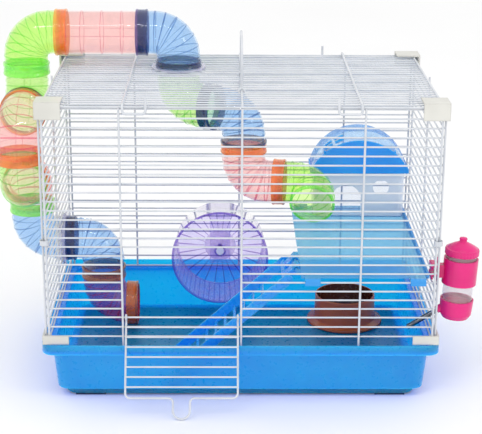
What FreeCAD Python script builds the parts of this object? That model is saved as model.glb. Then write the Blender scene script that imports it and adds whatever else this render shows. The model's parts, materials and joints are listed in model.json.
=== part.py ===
"""Small-animal cage with outside tunnels, built as separate pieces.

Frame: millimetres, +Z up, X along the length of the tray, Y across it with the
front at -Y.  The origin is on the floor, under the middle of the whole piece's outline; the
tray's own middle stands at (tray_x, tray_y).
"""
import FreeCAD, Part
import math
import os
import re
import Sketcher
from FreeCAD import Matrix, Placement, Rotation, Vector

X_AXIS = Vector(1, 0, 0)
Y_AXIS = Vector(0, 1, 0)
Z_AXIS = Vector(0, 0, 1)
ORIGIN = Vector(0, 0, 0)
ALONG = {
    "x": Rotation(Y_AXIS, 90),
    "y": Rotation(X_AXIS, -90),
    "z": Rotation(),
}

# ---------------------------------------------------------------- dimensions
SIZES = [
    # where the tray's middle stands, so that the whole piece is centred on the origin
    ("tray_x", 7.6),
    ("tray_y", 24.0),
    # tray
    ("tray_length", 470.0),
    ("tray_width", 300.0),
    ("tray_height", 74.0),
    ("tray_corner", 16.0),
    ("tray_wall", 2.0),
    ("rim_band", 12.0),
    ("rim_recess", 8.0),
    ("wall_inset_top", 11.0),
    ("wall_inset_bottom", 15.5),
    ("base_inset", 25.0),
    ("base_height", 12.0),
    ("floor_level", 14.0),
    ("foot_height", 2.0),
    ("foot_length", 36.0),
    ("foot_width", 10.0),
    ("foot_margin", 12.0),
    # wire cage
    ("cage_inset_side", 6.0),
    ("cage_inset_front", 7.0),
    ("cage_top", 357.5),
    ("row_pitch", 10.9),
    ("low_row_pitch", 12.0),
    ("row_wire", 1.0),
    ("post_wire", 1.25),
    ("weld_bite", 0.4),
    ("corner_step", 4.0),
    ("middle_post", 138.5),
    ("roof_pitch_target", 11.0),
    ("roof_lift", 2.55),
    ("hook_rise", 5.0),
    ("hook_reach", 4.0),
    ("rest_gap", 0.3),
    # clip wires on the roof
    ("clip_wire", 1.5),
    ("clip_from_side", 95.0),
    ("clip_reach", 26.0),
    ("clip_drop_front", 10.0),
    ("clip_rise_front", 18.0),
    ("clip_drop_back", 6.0),
    ("clip_bend", 4.0),
    # corner pieces
    ("cap_length", 30.0),
    ("cap_height", 20.0),
    ("cap_wall", 2.2),
    ("cap_over", 5.5),
    ("boot_length", 31.0),
    ("boot_height", 11.0),
    ("boot_wall", 2.4),
    ("post_clip_radius", 3.1),
    ("post_clip_height", 6.0),
    ("post_clip_row", 15.0),
    ("post_clip_rise", 2.5),
    # front door
    ("door_wire", 1.25),
    ("door_margin", 3.8),
    ("door_row_pitch", 11.6),
    ("door_rows", 7.0),
    ("door_length", 94.0),
    ("door_ring_gap", 0.4),
    ("loop_width", 20.0),
    ("loop_length", 24.0),
    ("door_bend", 6.0),
    ("loop_bend", 5.0),
    ("floor_gap", 0.4),
    # carry handle
    ("handle_wire", 1.5),
    ("handle_height", 57.0),
    ("handle_first_gap", 6.5),
    ("handle_span_gaps", 8.0),
    ("handle_taper", 9.0),
    ("handle_bend", 14.0),
    ("handle_ring_gap", 0.4),
    # tunnels
    ("tube_radius", 26.5),
    ("tube_wall", 1.5),
    ("bend_throat", 3.5),
    ("run_drops", 7.0),
    ("mouth_stand", 2.05),
    ("tube_gap", 1.0),
    ("straight_length", 99.0),
    ("ring_gap", 0.3),
    ("ring_wall", 2.2),
    ("ring_width", 15.0),
    ("mouth_ring_over", 0.2),
    ("top_ring_width", 7.0),
    ("side_ring_width", 11.5),
    ("collar_flange", 34.0),
    ("collar_plate", 2.0),
    ("collar_sleeve", 5.0),
    ("hole_gap", 0.7),
    ("side_joint_in", 6.5),
    ("tunnel_y", 62.0),
    ("inner_turn", 25.0),
    ("lower_turn", 8.0),
    ("mouth_tilt", 20.0),
    # wheel
    ("wheel_x", -25.5),
    ("wheel_z", 105.0),
    ("wheel_front_radius", 63.5),
    ("wheel_taper", 4.5),
    ("wheel_depth", 60.0),
    ("wheel_wall", 1.6),
    ("wheel_lip", 2.2),
    ("wheel_cone", 9.0),
    ("hub_radius", 8.0),
    ("hub_length", 21.0),
    ("axle_radius", 3.0),
    ("axle_fit", 0.08),
    ("axle_head", 5.2),
    ("axle_head_length", 2.5),
    ("wheel_end_gap", 0.3),
    ("bracket_width", 28.0),
    ("bracket_low", 32.0),
    ("bracket_high", 52.0),
    ("bracket_plate", 3.0),
    ("bracket_boss", 18.0),
    # wire hooks on plastic pieces
    ("hook_width", 12.0),
    ("hook_arm", 2.2),
    ("hook_lip", 2.1),
    ("hook_drop", 3.0),
    # shelf
    ("shelf_length", 149.0),
    ("shelf_side_gap", 10.0),
    ("shelf_front_gap", 3.5),
    ("shelf_back_gap", 3.5),
    ("shelf_plate", 2.0),
    ("shelf_height", 151.0),
    ("shelf_rise", 5.6),
    ("shelf_lip", 4.0),
    ("shelf_hook_width", 18.0),
    ("shelf_hook_margin", 4.0),
    ("rod_radius", 2.0),
    ("rod_offset", 5.0),
    ("rod_ear", 4.0),
    ("rod_rise", 1.0),
    # ramp
    ("ramp_front", -125.0),
    ("ramp_width", 70.0),
    ("ramp_rail", 2.5),
    ("ramp_rail_height", 12.0),
    ("ramp_angle", 41.9),
    ("ramp_rung_pitch", 15.0),
    ("ramp_rung", 2.6),
    ("ramp_head", 14.0),
    ("ramp_arm", 6.0),
    ("ramp_ring_gap", 0.3),
    ("ramp_ring_wall", 2.2),
    ("ramp_ring_width", 16.0),
    ("ramp_rung_rise", 1.0),
    # house on the shelf
    ("house_inset", 26.0),
    ("house_length", 120.0),
    ("house_front", 88.0),
    ("house_width", 47.0),
    ("house_height", 60.0),
    ("house_wall", 1.6),
    ("house_corner", 9.0),
    ("house_foot", 1.2),
    ("doorway_offset", 24.0),
    ("doorway_width", 39.0),
    ("doorway_height", 42.0),
    ("window_offset", 89.0),
    ("window_level", 40.0),
    ("window_width", 21.0),
    ("window_height", 16.0),
    ("eave_over", 4.0),
    ("eave_height", 6.0),
    ("eave_wall", 2.4),
    ("gable_rise", 38.0),
    ("vault_rise", 48.0),
    ("vault_wall", 1.5),
    ("vault_gap", 1.2),
    ("gable_depth", 3.0),
    ("latch_length", 21.0),
    ("latch_width", 24.0),
    ("latch_height", 23.0),
    ("latch_inset", 17.0),
    # food dish
    ("dish_from_side", 88.0),
    ("dish_y", 78.0),
    ("dish_radius", 39.5),
    ("dish_base_radius", 50.0),
    ("dish_height", 38.0),
    ("dish_wall", 2.4),
    ("dish_base", 3.0),
    ("dish_floor", 8.0),
    # water bottle
    ("bottle_y", -112.0),
    ("bottle_standoff", 9.0),
    ("bottle_level", 97.0),
    ("bottle_tilt", 3.0),
    ("bottle_radius", 18.0),
    ("bottle_wall", 1.2),
    ("bottle_start", 19.0),
    ("bottle_length", 63.0),
    ("cap_gap", 0.4),
    ("top_cap_height", 20.0),
    ("top_cap_wall", 1.8),
    ("knob_radius", 4.5),
    ("knob_height", 5.0),
    ("lower_cap_height", 23.0),
    ("lower_cap_wall", 1.6),
    ("cup_gap", 0.2),
    ("holder_wall", 2.2),
    ("holder_level", 43.0),
    ("holder_height", 31.0),
    ("holder_arm_width", 20.0),
    ("holder_plate", 2.4),
    ("spout_radius", 3.1),
    ("spout_wall", 0.5),
    ("spout_angle", 33.0),
    ("spout_reach_in", 29.0),
    ("spout_root_out", 5.0),
    ("spout_row_share", 0.5),
    ("spout_socket", 4.6),
    ("ball_radius", 2.4),
    ("ball_gap", 0.05),
    ("ball_stand", 1.2),
]

doc = FreeCAD.newDocument("AnimalCage")
sheet = doc.addObject("Spreadsheet::Sheet", "Sizes")
for row, (alias, size) in enumerate(SIZES, start=1):
    sheet.set("A%d" % row, alias)
    sheet.set("B%d" % row, str(size))
    sheet.setAlias("B%d" % row, alias)
doc.recompute()

ALIASES = {alias for alias, _ in SIZES}
WORD = re.compile(r"[a-z_]+[a-z_0-9]*")


# ------------------------------------------------------------------- helpers
def full(expression):
    """Return the expression with every alias written as a cell of the sheet."""
    text = str(expression)
    return WORD.sub(lambda m: "Sizes." + m.group(0) if m.group(0) in ALIASES else m.group(0), text)


def num(expression):
    """Return the value of an expression of the sheet, in plain numbers."""
    return float(sheet.evalExpression(full(expression)))


def bind(target, **expressions):
    """Bind properties of an object to expressions of the sheet."""
    for name, expression in expressions.items():
        target.setExpression(name.replace("__", "."), full(expression))
    return target


def place(target, x, y, z, rotation=None):
    """Bind an object's position to the sheet and give it a fixed rotation."""
    if rotation is not None:
        target.Placement = Placement(Vector(num(x), num(y), num(z)), rotation)
    target.setExpression("Placement.Base.x", full(x))
    target.setExpression("Placement.Base.y", full(y))
    target.setExpression("Placement.Base.z", full(z))
    return target


def block(x, y, z, length, width, height):
    """A box with its lowest corner at x, y, z."""
    item = doc.addObject("Part::Box", "Block")
    bind(item, Length=length, Width=width, Height=height)
    return place(item, x, y, z)


def rod(axis, x, y, z, length, radius, spin=0):
    """A cylinder that starts at x, y, z and runs along +axis, its seam turned by spin."""
    item = doc.addObject("Part::Cylinder", "Rod")
    bind(item, Radius=radius, Height=length)
    return place(item, x, y, z, ALONG[axis].multiply(Rotation(Z_AXIS, spin)))


def fuse(*items):
    """The union of several objects."""
    if len(items) == 1:
        return items[0]
    union = doc.addObject("Part::MultiFuse", "Union")
    union.Shapes = list(items)
    return union


def cut(base, *tools):
    """The base with every tool cut away."""
    result = doc.addObject("Part::Cut", "Cut")
    result.Base = base
    result.Tool = fuse(*tools)
    return result


def common(first, second):
    """What two objects share."""
    result = doc.addObject("Part::Common", "Common")
    result.Base = first
    result.Tool = second
    return result


NODES = []


def node(label, item):
    """Name a finished sub-part."""
    item.Label = label
    NODES.append(item)
    return item


def body(label):
    """A new PartDesign body for one sub-part."""
    item = doc.addObject("PartDesign::Body", "Body")
    return node(label, item)


def sketch_on(owner, role, offset="0"):
    """A sketch on one of the body's own origin planes, moved along its normal."""
    plane = [f for f in owner.Origin.OriginFeatures if f.Role == role][0]
    item = owner.newObject("Sketcher::SketchObject", "Sketch")
    item.AttachmentSupport = [(plane, "")]
    item.MapMode = "FlatFace"
    item.setExpression("AttachmentOffset.Base.z", full(offset))
    return item


def constrain(item, kind, *arguments, expression=None):
    """Add one constraint and, for a size, bind it to the sheet."""
    if expression is None:
        return item.addConstraint(Sketcher.Constraint(kind, *arguments))
    index = item.addConstraint(Sketcher.Constraint(kind, *arguments, num(expression)))
    item.setExpression("Constraints[%d]" % index, full(expression))
    return index


def rounded_rectangle(item, length, width, radius):
    """A rectangle with round corners, centred on the sketch's origin."""
    half_l = num(length) / 2
    half_w = num(width) / 2
    r = num(radius)
    in_l = half_l - r
    in_w = half_w - r
    quarter = math.pi / 2
    sides = [
        ((-in_l, -half_w), (in_l, -half_w)),
        ((half_l, -in_w), (half_l, in_w)),
        ((in_l, half_w), (-in_l, half_w)),
        ((-half_l, in_w), (-half_l, -in_w)),
    ]
    centres = [(in_l, -in_w), (in_l, in_w), (-in_l, in_w), (-in_l, -in_w)]
    for side in range(4):
        (x0, y0), (x1, y1) = sides[side]
        item.addGeometry(Part.LineSegment(Vector(x0, y0, 0), Vector(x1, y1, 0)), False)
        cx, cy = centres[side]
        circle = Part.Circle(Vector(cx, cy, 0), Z_AXIS, r)
        start = (side - 1) * quarter
        item.addGeometry(Part.ArcOfCircle(circle, start, start + quarter), False)
    for side in range(4):
        line = 2 * side
        arc = line + 1
        constrain(item, "Tangent", line, 2, arc, 1)
        constrain(item, "Tangent", arc, 2, (line + 2) % 8, 1)
    for arc in (3, 5, 7):
        constrain(item, "Equal", 1, arc)
    for line, kind in ((0, "Horizontal"), (4, "Horizontal"), (2, "Vertical"), (6, "Vertical")):
        constrain(item, kind, line)
    constrain(item, "Symmetric", 0, 1, 4, 1, -1, 1)
    constrain(item, "DistanceX", 6, 1, 2, 1, expression=length)
    constrain(item, "DistanceY", 0, 1, 4, 1, expression=width)
    constrain(item, "Radius", 1, expression=radius)
    return item


def pin_down(item, geometry, point, x, y):
    """Bind a point's place to the sheet, or to an axis of the sketch where it is zero."""
    if num(x) == 0:
        constrain(item, "PointOnObject", geometry, point, -2)
    else:
        constrain(item, "DistanceX", -1, 1, geometry, point, expression=x)
    if num(y) == 0:
        constrain(item, "PointOnObject", geometry, point, -1)
    else:
        constrain(item, "DistanceY", -1, 1, geometry, point, expression=y)


def outline(item, points):
    """A closed polygon whose corners are bound to the sheet."""
    spots = [Vector(num(x), num(y), 0) for x, y in points]
    count = len(spots)
    for index in range(count):
        item.addGeometry(Part.LineSegment(spots[index], spots[(index + 1) % count]), False)
    for index in range(count):
        constrain(item, "Coincident", index, 2, (index + 1) % count, 1)
    for index, (x, y) in enumerate(points):
        pin_down(item, index, 1, x, y)
    return item


def circles(item, x, y, *radii):
    """Circles about one point of the sketch."""
    for index, radius in enumerate(radii):
        spot = Vector(num(x), num(y), 0)
        item.addGeometry(Part.Circle(spot, Z_AXIS, num(radius)), False)
        constrain(item, "Radius", index, expression=radius)
        pin_down(item, index, 3, x, y)
    return item


def pad(owner, profile, length, reverse=False):
    """Pad a sketch."""
    item = owner.newObject("PartDesign::Pad", "Pad")
    item.Profile = profile
    item.Reversed = reverse
    bind(item, Length=length)
    return item


def pocket(owner, profile, length, reverse=False):
    """Cut a pocket; reverse=True cuts along the sketch's normal."""
    item = owner.newObject("PartDesign::Pocket", "Pocket")
    item.Profile = profile
    item.Reversed = reverse
    bind(item, Length=length)
    return item


def loft(owner, kind, lower, upper):
    """A straight-sided additive or subtractive loft between two sketches."""
    item = owner.newObject("PartDesign::" + kind, kind)
    item.Profile = lower
    item.Sections = [upper]
    item.Ruled = True
    return item


def revolve(owner, profile):
    """Turn a profile about the sketch's vertical axis."""
    item = owner.newObject("PartDesign::Revolution", "Revolution")
    item.Profile = profile
    item.ReferenceAxis = (profile, ["V_Axis"])
    item.Angle = 360
    return item


def wire_shape(points, radius, bends):
    """A round wire along straight runs joined by tangent arcs."""
    edges = []
    start = points[0]
    for index in range(1, len(points) - 1):
        here = points[index]
        before = (here - points[index - 1]).normalize()
        after = (points[index + 1] - here).normalize()
        turn = before.getAngle(after)
        setback = bends[index - 1] * math.tan(turn / 2)
        arc_in = here - before * setback
        arc_out = here + after * setback
        inward = (after - before).normalize()
        middle = here + inward * (bends[index - 1] / math.cos(turn / 2) - bends[index - 1])
        edges.append(Part.LineSegment(start, arc_in).toShape())
        edges.append(Part.Arc(arc_in, middle, arc_out).toShape())
        start = arc_out
    edges.append(Part.LineSegment(start, points[-1]).toShape())
    path = Part.Wire(edges)
    direction = (points[1] - points[0]).normalize()
    profile = Part.Wire(Part.makeCircle(radius, points[0], direction))
    return path.makePipeShell([profile], True, True)


def bent_wire(points, radius, bends):
    """A bent wire as an object of the document."""
    item = doc.addObject("Part::Feature", "BentWire")
    item.Shape = wire_shape(points, num(radius), bends)
    return item


# ---------------------------------------------------------------- the tray
def build_tray():
    """Deep tray: skirted base, sloping walls and a rim with a seat for the wires."""
    tray = body("tray")
    base = rounded_rectangle(sketch_on(tray, "XY_Plane", "foot_height"),
                             "tray_length - 2 * base_inset", "tray_width - 2 * base_inset",
                             "tray_corner")
    pad(tray, base, "base_height - foot_height")
    low = rounded_rectangle(sketch_on(tray, "XY_Plane", "base_height"),
                            "tray_length - 2 * wall_inset_bottom",
                            "tray_width - 2 * wall_inset_bottom", "tray_corner")
    high = rounded_rectangle(sketch_on(tray, "XY_Plane", "tray_height - rim_band + tray_wall"),
                             "tray_length - 2 * wall_inset_top",
                             "tray_width - 2 * wall_inset_top", "tray_corner")
    loft(tray, "AdditiveLoft", low, high)
    rim = rounded_rectangle(sketch_on(tray, "XY_Plane", "tray_height - rim_band"),
                            "tray_length", "tray_width", "tray_corner")
    pad(tray, rim, "rim_band")
    seat = rounded_rectangle(sketch_on(tray, "XY_Plane", "tray_height - rim_recess"),
                             "tray_length - 2 * tray_wall", "tray_width - 2 * tray_wall",
                             "tray_corner - tray_wall")
    pocket(tray, seat, "rim_recess", reverse=True)
    inner_low = rounded_rectangle(sketch_on(tray, "XY_Plane", "floor_level"),
                                  "tray_length - 2 * wall_inset_bottom - 2 * tray_wall",
                                  "tray_width - 2 * wall_inset_bottom - 2 * tray_wall",
                                  "tray_corner - tray_wall")
    inner_high = rounded_rectangle(sketch_on(tray, "XY_Plane", "tray_height - rim_recess"),
                                   "tray_length - 2 * wall_inset_top - 2 * tray_wall",
                                   "tray_width - 2 * wall_inset_top - 2 * tray_wall",
                                   "tray_corner - tray_wall")
    loft(tray, "SubtractiveLoft", inner_low, inner_high)
    hollow = rounded_rectangle(sketch_on(tray, "XY_Plane", "foot_height"),
                               "tray_length - 2 * base_inset - 2 * tray_wall",
                               "tray_width - 2 * base_inset - 2 * tray_wall",
                               "tray_corner - tray_wall")
    pocket(tray, hollow, "base_height - foot_height", reverse=True)


def build_feet():
    """Four thin pads under the skirt's corners."""
    pads = []
    reach_x = "(tray_length / 2 - base_inset - foot_margin)"
    reach_y = "(tray_width / 2 - base_inset - foot_width)"
    for x in ("-" + reach_x, reach_x + " - foot_length"):
        for y in ("-" + reach_y + " - foot_width", reach_y):
            pads.append(block(x, y, "0", "foot_length", "foot_width", "foot_height"))
    node("tray_feet", fuse(*pads))


# ------------------------------------------------------------ the wire cage
SIDE = "(tray_length / 2 - cage_inset_side)"
FRONT = "(tray_width / 2 - cage_inset_front)"
ROW_BACK = "(row_wire + post_wire - weld_bite)"
SEAT_Z = "(tray_height - rim_recess + rest_gap + post_wire)"
ROOF_Z = "(cage_top + roof_lift)"
CORNER = "(" + SIDE + " - corner_step)"
SIDE_CORNER = "(" + FRONT + " - corner_step + 0.5)"
SHELF_RIGHT = "(" + SIDE + " - shelf_side_gap)"
SHELF_LEFT = "(" + SHELF_RIGHT + " - shelf_length)"
UPRIGHTS = ["-" + CORNER, "-middle_post", "0", "middle_post", CORNER]


def row_levels():
    """Heights of the horizontal wires, from the top down."""
    hinge_rows = 1 + int(num("cage_top - tray_height - 2 * low_row_pitch") / num("row_pitch"))
    levels = ["cage_top - %d * row_pitch" % k for k in range(hinge_rows)]
    last = levels[-1]
    step = 1
    while num("%s - %d * low_row_pitch" % (last, step)) > num("tray_height") + 2:
        levels.append("%s - %d * low_row_pitch" % (last, step))
        step += 1
    return levels, hinge_rows - 1


LEVELS, HINGE_ROW = row_levels()
DOOR_TOP_ROW = HINGE_ROW - 1 - int(num("door_rows"))
HINGE_Z = LEVELS[HINGE_ROW]
HINGE_Y = "(-" + FRONT + " + " + ROW_BACK + ")"
POST_LENGTH = "(cage_top + row_wire - (" + SEAT_Z + "))"
POST_CLIP_Z = "(%s + post_clip_rise)" % LEVELS[int(num("post_clip_row"))]
# the shelf hangs on the highest row that isn't above its wanted height
SHELF_ROW = [level for level in LEVELS if num(level) <= num("shelf_height")][0]
SHELF_LEVEL = "(%s + shelf_rise)" % SHELF_ROW


def posts(spots, spin=0):
    """Upright wires from the seat in the rim to the top row."""
    return [rod("z", x, y, SEAT_Z, POST_LENGTH, "post_wire", spin) for x, y in spots]


def build_front_panel():
    """Front grille with its door opening between two uprights."""
    y_post = "-" + FRONT
    pieces = posts([(x, y_post) for x in UPRIGHTS])
    for index, level in enumerate(LEVELS):
        if DOOR_TOP_ROW < index < HINGE_ROW:
            pieces.append(rod("x", "-" + CORNER, HINGE_Y, level,
                              CORNER + " - middle_post", "row_wire"))
            pieces.append(rod("x", "0", HINGE_Y, level, CORNER, "row_wire"))
            continue
        pieces.append(rod("x", "-" + CORNER, HINGE_Y, level, "2 * " + CORNER, "row_wire"))
    pieces.append(rod("x", "-" + CORNER, y_post, SEAT_Z, "2 * " + CORNER, "post_wire"))
    node("front_panel", fuse(*pieces))


def build_back_panel():
    """Back grille."""
    y_post = FRONT
    y_row = FRONT + " - " + ROW_BACK
    pieces = posts([(x, y_post) for x in UPRIGHTS])
    for level in LEVELS:
        pieces.append(rod("x", "-" + CORNER, y_row, level, "2 * " + CORNER, "row_wire"))
    pieces.append(rod("x", "-" + CORNER, y_post, SEAT_Z, "2 * " + CORNER, "post_wire"))
    node("back_panel", fuse(*pieces))


def build_side_panel(label, sign, hole=None):
    """End grille; the middle upright is hooked over the roof's edge wire."""
    x_post = sign + SIDE
    x_row = "%s(%s - %s)" % (sign, SIDE, ROW_BACK)
    reach = SIDE_CORNER
    # the seams are turned to where no other wire crosses
    pieces = posts([(x_post, "-" + reach), (x_post, reach)], 90)
    rise = POST_LENGTH + " + hook_rise"
    pieces.append(rod("z", x_post, "0", SEAT_Z, rise, "post_wire", 90))
    for level in LEVELS:
        pieces.append(rod("y", x_row, "-" + reach, level, "2 * " + reach, "row_wire", 90))
    pieces.append(rod("y", x_post, "-" + reach, SEAT_Z, "2 * " + reach, "post_wire", 90))
    panel = fuse(*pieces)
    if hole:
        panel = cut(panel, hole)
    node(label, panel)


def roof_rows():
    """How many equal gaps the roof's cross wires make."""
    return int(round(num("2 * " + FRONT) / num("roof_pitch_target")))


ROOF_PITCH = "(2 * %s / %d)" % (FRONT, roof_rows())


def build_top_panel(hole):
    """Roof grille with the hole for the tunnel."""
    pieces = []
    for k in range(roof_rows() + 1):
        y = "-%s + %d * %s" % (FRONT, k, ROOF_PITCH)
        pieces.append(rod("x", "-" + CORNER, y, ROOF_Z, "2 * " + CORNER, "row_wire"))
    for x in ("-" + CORNER, "0", CORNER):
        pieces.append(rod("y", x, "-" + FRONT, ROOF_Z + " + " + ROW_BACK, "2 * " + FRONT,
                          "post_wire"))
    node("top_panel", cut(fuse(*pieces), hole))


def build_clip_wires():
    """Two long spring clips that lie on the roof and hook over both edges."""
    clips = []
    z_arm = num(ROOF_Z + " + row_wire + clip_wire") + 0.3
    y_hook = num(FRONT + " + post_wire + clip_wire") + 0.8
    bend = num("clip_bend")
    reach = num("clip_reach")
    for sign in (-1, 1):
        x = sign * num(SIDE + " - clip_from_side")
        x_in = x - sign * reach
        points = [
            Vector(x_in, -y_hook, z_arm + num("clip_rise_front") - num("clip_drop_front")),
            Vector(x_in, -y_hook, z_arm - num("clip_drop_front")),
            Vector(x, -y_hook, z_arm - num("clip_drop_front")),
            Vector(x, -y_hook, z_arm),
            Vector(x, y_hook, z_arm),
            Vector(x, y_hook, z_arm - num("clip_drop_back")),
            Vector(x_in, y_hook, z_arm - num("clip_drop_back")),
            Vector(x_in, y_hook, z_arm + num("clip_rise_front") / 2),
        ]
        tight = num("clip_drop_back") * 0.4
        clips.append(bent_wire(points, "clip_wire", [bend, bend, bend, tight, tight, bend]))
    node("top_clip_wires", fuse(*clips))


def build_corner_caps():
    """Angle covers over the four corners of the roof."""
    caps = []
    face = "(" + FRONT + " + post_wire + rest_gap)"
    end = "(" + SIDE + " + post_wire + rest_gap)"
    low = ROOF_Z + " + " + ROW_BACK + " + post_wire + rest_gap + cap_wall - cap_height"
    far_side = " + cap_wall - cap_length"
    for x_side in (-1, 1):
        x_out = "-(%s + cap_wall)" % end if x_side < 0 else end + far_side
        x_in = "-" + end if x_side < 0 else end + far_side + " - 1"
        for y_side in (-1, 1):
            y_out = "-(%s + cap_wall)" % face if y_side < 0 else face + far_side
            y_in = "-" + face if y_side < 0 else face + far_side + " - 1"
            shell = block(x_out, y_out, low, "cap_length", "cap_length", "cap_height")
            room = block(x_in, y_in, low + " - 1", "cap_length - cap_wall + 1",
                         "cap_length - cap_wall + 1", "cap_height - cap_wall + 1")
            caps.append(cut(shell, room))
    node("top_corner_caps", fuse(*caps))


def build_corner_boots():
    """Angle pieces over the rim that hold the front corners of the cage down."""
    boots = []
    face = "(" + FRONT + " + post_wire + rest_gap)"
    end = "(" + SIDE + " + post_wire + rest_gap)"
    low = "tray_height + rest_gap"
    for side in (-1, 1):
        x_out = "-(%s + boot_wall)" % end if side < 0 else "%s + boot_wall - boot_length" % end
        x_in = "-" + end if side < 0 else "%s + boot_wall - boot_length - 1" % end
        shell = block(x_out, "-(%s + boot_wall)" % face, low, "boot_length", "boot_length",
                      "boot_height")
        room = block(x_in, "-" + face, low + " - 1", "boot_length - boot_wall + 1",
                     "boot_length", "boot_height + 2")
        boots.append(cut(shell, room))
    node("base_corner_boots", fuse(*boots))


def build_post_clips():
    """Round clips that hold the paired corner posts together."""
    clips = []
    mid_x = "(%s - corner_step / 2)" % SIDE
    mid_y = "(-%s + corner_step / 2 - 0.25)" % FRONT
    for sign in ("-", ""):
        x = sign + mid_x
        outer = rod("z", x, mid_y, POST_CLIP_Z, "post_clip_height",
                    "post_clip_radius + corner_step / 2")
        room = rod("z", x, mid_y, POST_CLIP_Z + " - 1", "post_clip_height + 2",
                   "corner_step / 2 * 1.4143 + post_wire + rest_gap")
        clips.append(cut(outer, room))
    node("post_clips", fuse(*clips))


# -------------------------------------------------------------- front door
def build_front_door():
    """Wire door, hung on a row of the front panel and let down onto the floor."""
    offset = num("row_wire + door_ring_gap + door_wire")
    row_y = -offset + num("row_wire + door_wire - weld_bite")
    left = num("-middle_post + door_margin")
    right = -num("door_margin")
    wire = num("door_wire")
    length = num("door_length")
    loop_half = num("loop_width") / 2
    middle = (left + right) / 2
    tip = length + num("loop_length")
    points = [
        Vector(left, -offset, 0),
        Vector(left, -offset, length),
        Vector(middle - loop_half, -offset, length),
        Vector(middle - loop_half, -offset, tip),
        Vector(middle + loop_half, -offset, tip),
        Vector(middle + loop_half, -offset, length),
        Vector(right, -offset, length),
        Vector(right, -offset, 0),
    ]
    corner = num("door_bend")
    shoulder = num("loop_bend")
    tip_bend = loop_half - 0.1
    frame = wire_shape(points, wire, [corner, shoulder, tip_bend, tip_bend, shoulder, corner])
    solids = [frame]
    for k in range(1, int(num("door_rows")) + 1):
        level = k * num("door_row_pitch")
        solids.append(Part.makeCylinder(num("row_wire"), right - left, Vector(left, row_y, level),
                                        X_AXIS))
    for x in (left, right):
        solids.append(Part.makeTorus(offset, wire, Vector(x, 0, 0), X_AXIS))
    door = doc.addObject("Part::Feature", "Door")
    door.Shape = solids[0].multiFuse(solids[1:])
    # the open angle puts the loop's tip on the floor
    hinge_z = num(HINGE_Z)
    arm = math.hypot(tip, offset)
    lean = math.atan2(offset, tip) + math.acos((hinge_z - wire - num("floor_gap")) / arm)
    open_turn = 180 - math.degrees(lean)
    door.Placement = Placement(Vector(0, num(HINGE_Y), hinge_z), Rotation(X_AXIS, open_turn))
    node("front_door", door)
    print("door: hinge y %.3f z %.3f, opens %.2f degrees" % (num(HINGE_Y), hinge_z, open_turn))


# ------------------------------------------------------------ carry handle
def build_handle():
    """Wire bail on the roof's middle wire, standing up."""
    axis_z = num(ROOF_Z + " + " + ROW_BACK)
    offset = num("post_wire + handle_ring_gap + handle_wire")
    pitch = num(ROOF_PITCH)
    y_near = -num(FRONT) + num("handle_first_gap") * pitch
    y_far = y_near + num("handle_span_gaps") * pitch
    top = num("handle_height")
    taper = num("handle_taper")
    points = [
        Vector(0, y_near, offset),
        Vector(0, y_near, top / 2),
        Vector(0, y_near + taper, top),
        Vector(0, y_far - taper, top),
        Vector(0, y_far, top / 2),
        Vector(0, y_far, offset),
    ]
    bend = num("handle_bend")
    solids = [wire_shape(points, num("handle_wire"), [bend, bend, bend, bend])]
    for y in (y_near, y_far):
        solids.append(Part.makeTorus(offset, num("handle_wire"), Vector(0, y, 0), Y_AXIS))
    handle = doc.addObject("Part::Feature", "Handle")
    handle.Shape = solids[0].multiFuse(solids[1:])
    handle.Placement = Placement(Vector(0, 0, axis_z), Rotation())
    node("carry_handle", handle)
    print("handle: axis z %.3f, y %.2f to %.2f" % (axis_z, y_near, y_far))


# ----------------------------------------------------------------- tunnels
BEND = "(tube_radius + bend_throat)"
TUBE_IN = "(tube_radius - tube_wall)"
RING_IN = "(tube_radius + ring_gap)"
RING_OUT = "(tube_radius + ring_gap + ring_wall)"
HOLE = "(tube_radius + ring_gap + ring_wall + hole_gap)"
# from joint to corner: the run drops this far again and again, from the roof to the floor
STEP = "((%s - floor_level - mouth_stand - %s - run_drops / 2 * tube_gap) / run_drops)" % (
    ROOF_Z, RING_OUT)
ELBOW_LEG = "(%s - %s)" % (STEP, BEND)
# the run comes back in through the left grille, which sets where it leaves the roof
TOP_HOLE_X = "(side_joint_in + straight_length + %s + 1.5 * tube_gap - %s)" % (STEP, SIDE)


def frame_of(x_dir, y_dir):
    """The rotation whose local X and Y point along two given directions."""
    z_dir = x_dir.cross(y_dir)
    return Rotation(Matrix(x_dir.x, y_dir.x, z_dir.x, 0,
                           x_dir.y, y_dir.y, z_dir.y, 0,
                           x_dir.z, y_dir.z, z_dir.z, 0,
                           0, 0, 0, 1))


def elbow(label, start, inward, outward):
    """A quarter bend from start, first along inward and then along outward."""
    item = body(label)
    profile = circles(sketch_on(item, "XZ_Plane"), BEND, "0", "tube_radius", TUBE_IN)
    bend = item.newObject("PartDesign::Revolution", "Bend")
    bend.Profile = profile
    bend.ReferenceAxis = (profile, ["V_Axis"])
    bend.Angle = 90
    first = circles(sketch_on(item, "XZ_Plane"), BEND, "0", "tube_radius", TUBE_IN)
    leg_one = pad(item, first, ELBOW_LEG)
    second = circles(sketch_on(item, "YZ_Plane"), BEND, "0", "tube_radius", TUBE_IN)
    leg_two = pad(item, second, ELBOW_LEG)
    item.Tip = leg_two
    doc.recompute([item])
    bend.Reversed = bend.Shape.BoundBox.YMax < num(BEND) / 2
    leg_one.Reversed = False
    leg_two.Reversed = True
    corner = start + inward * num(STEP)
    turn = frame_of(outward * -1, inward)
    base = corner - turn.multVec(Vector(num(BEND), num(BEND), 0))
    item.Placement = Placement(base, turn)
    return corner + outward * num(STEP)


def straight(label, start, along):
    """A straight tunnel from start."""
    item = body(label)
    profile = circles(sketch_on(item, "XY_Plane"), "0", "0", "tube_radius", TUBE_IN)
    pad(item, profile, "straight_length")
    item.Placement = Placement(start, Rotation(Z_AXIS, along))
    return start + along * num("straight_length")


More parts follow.
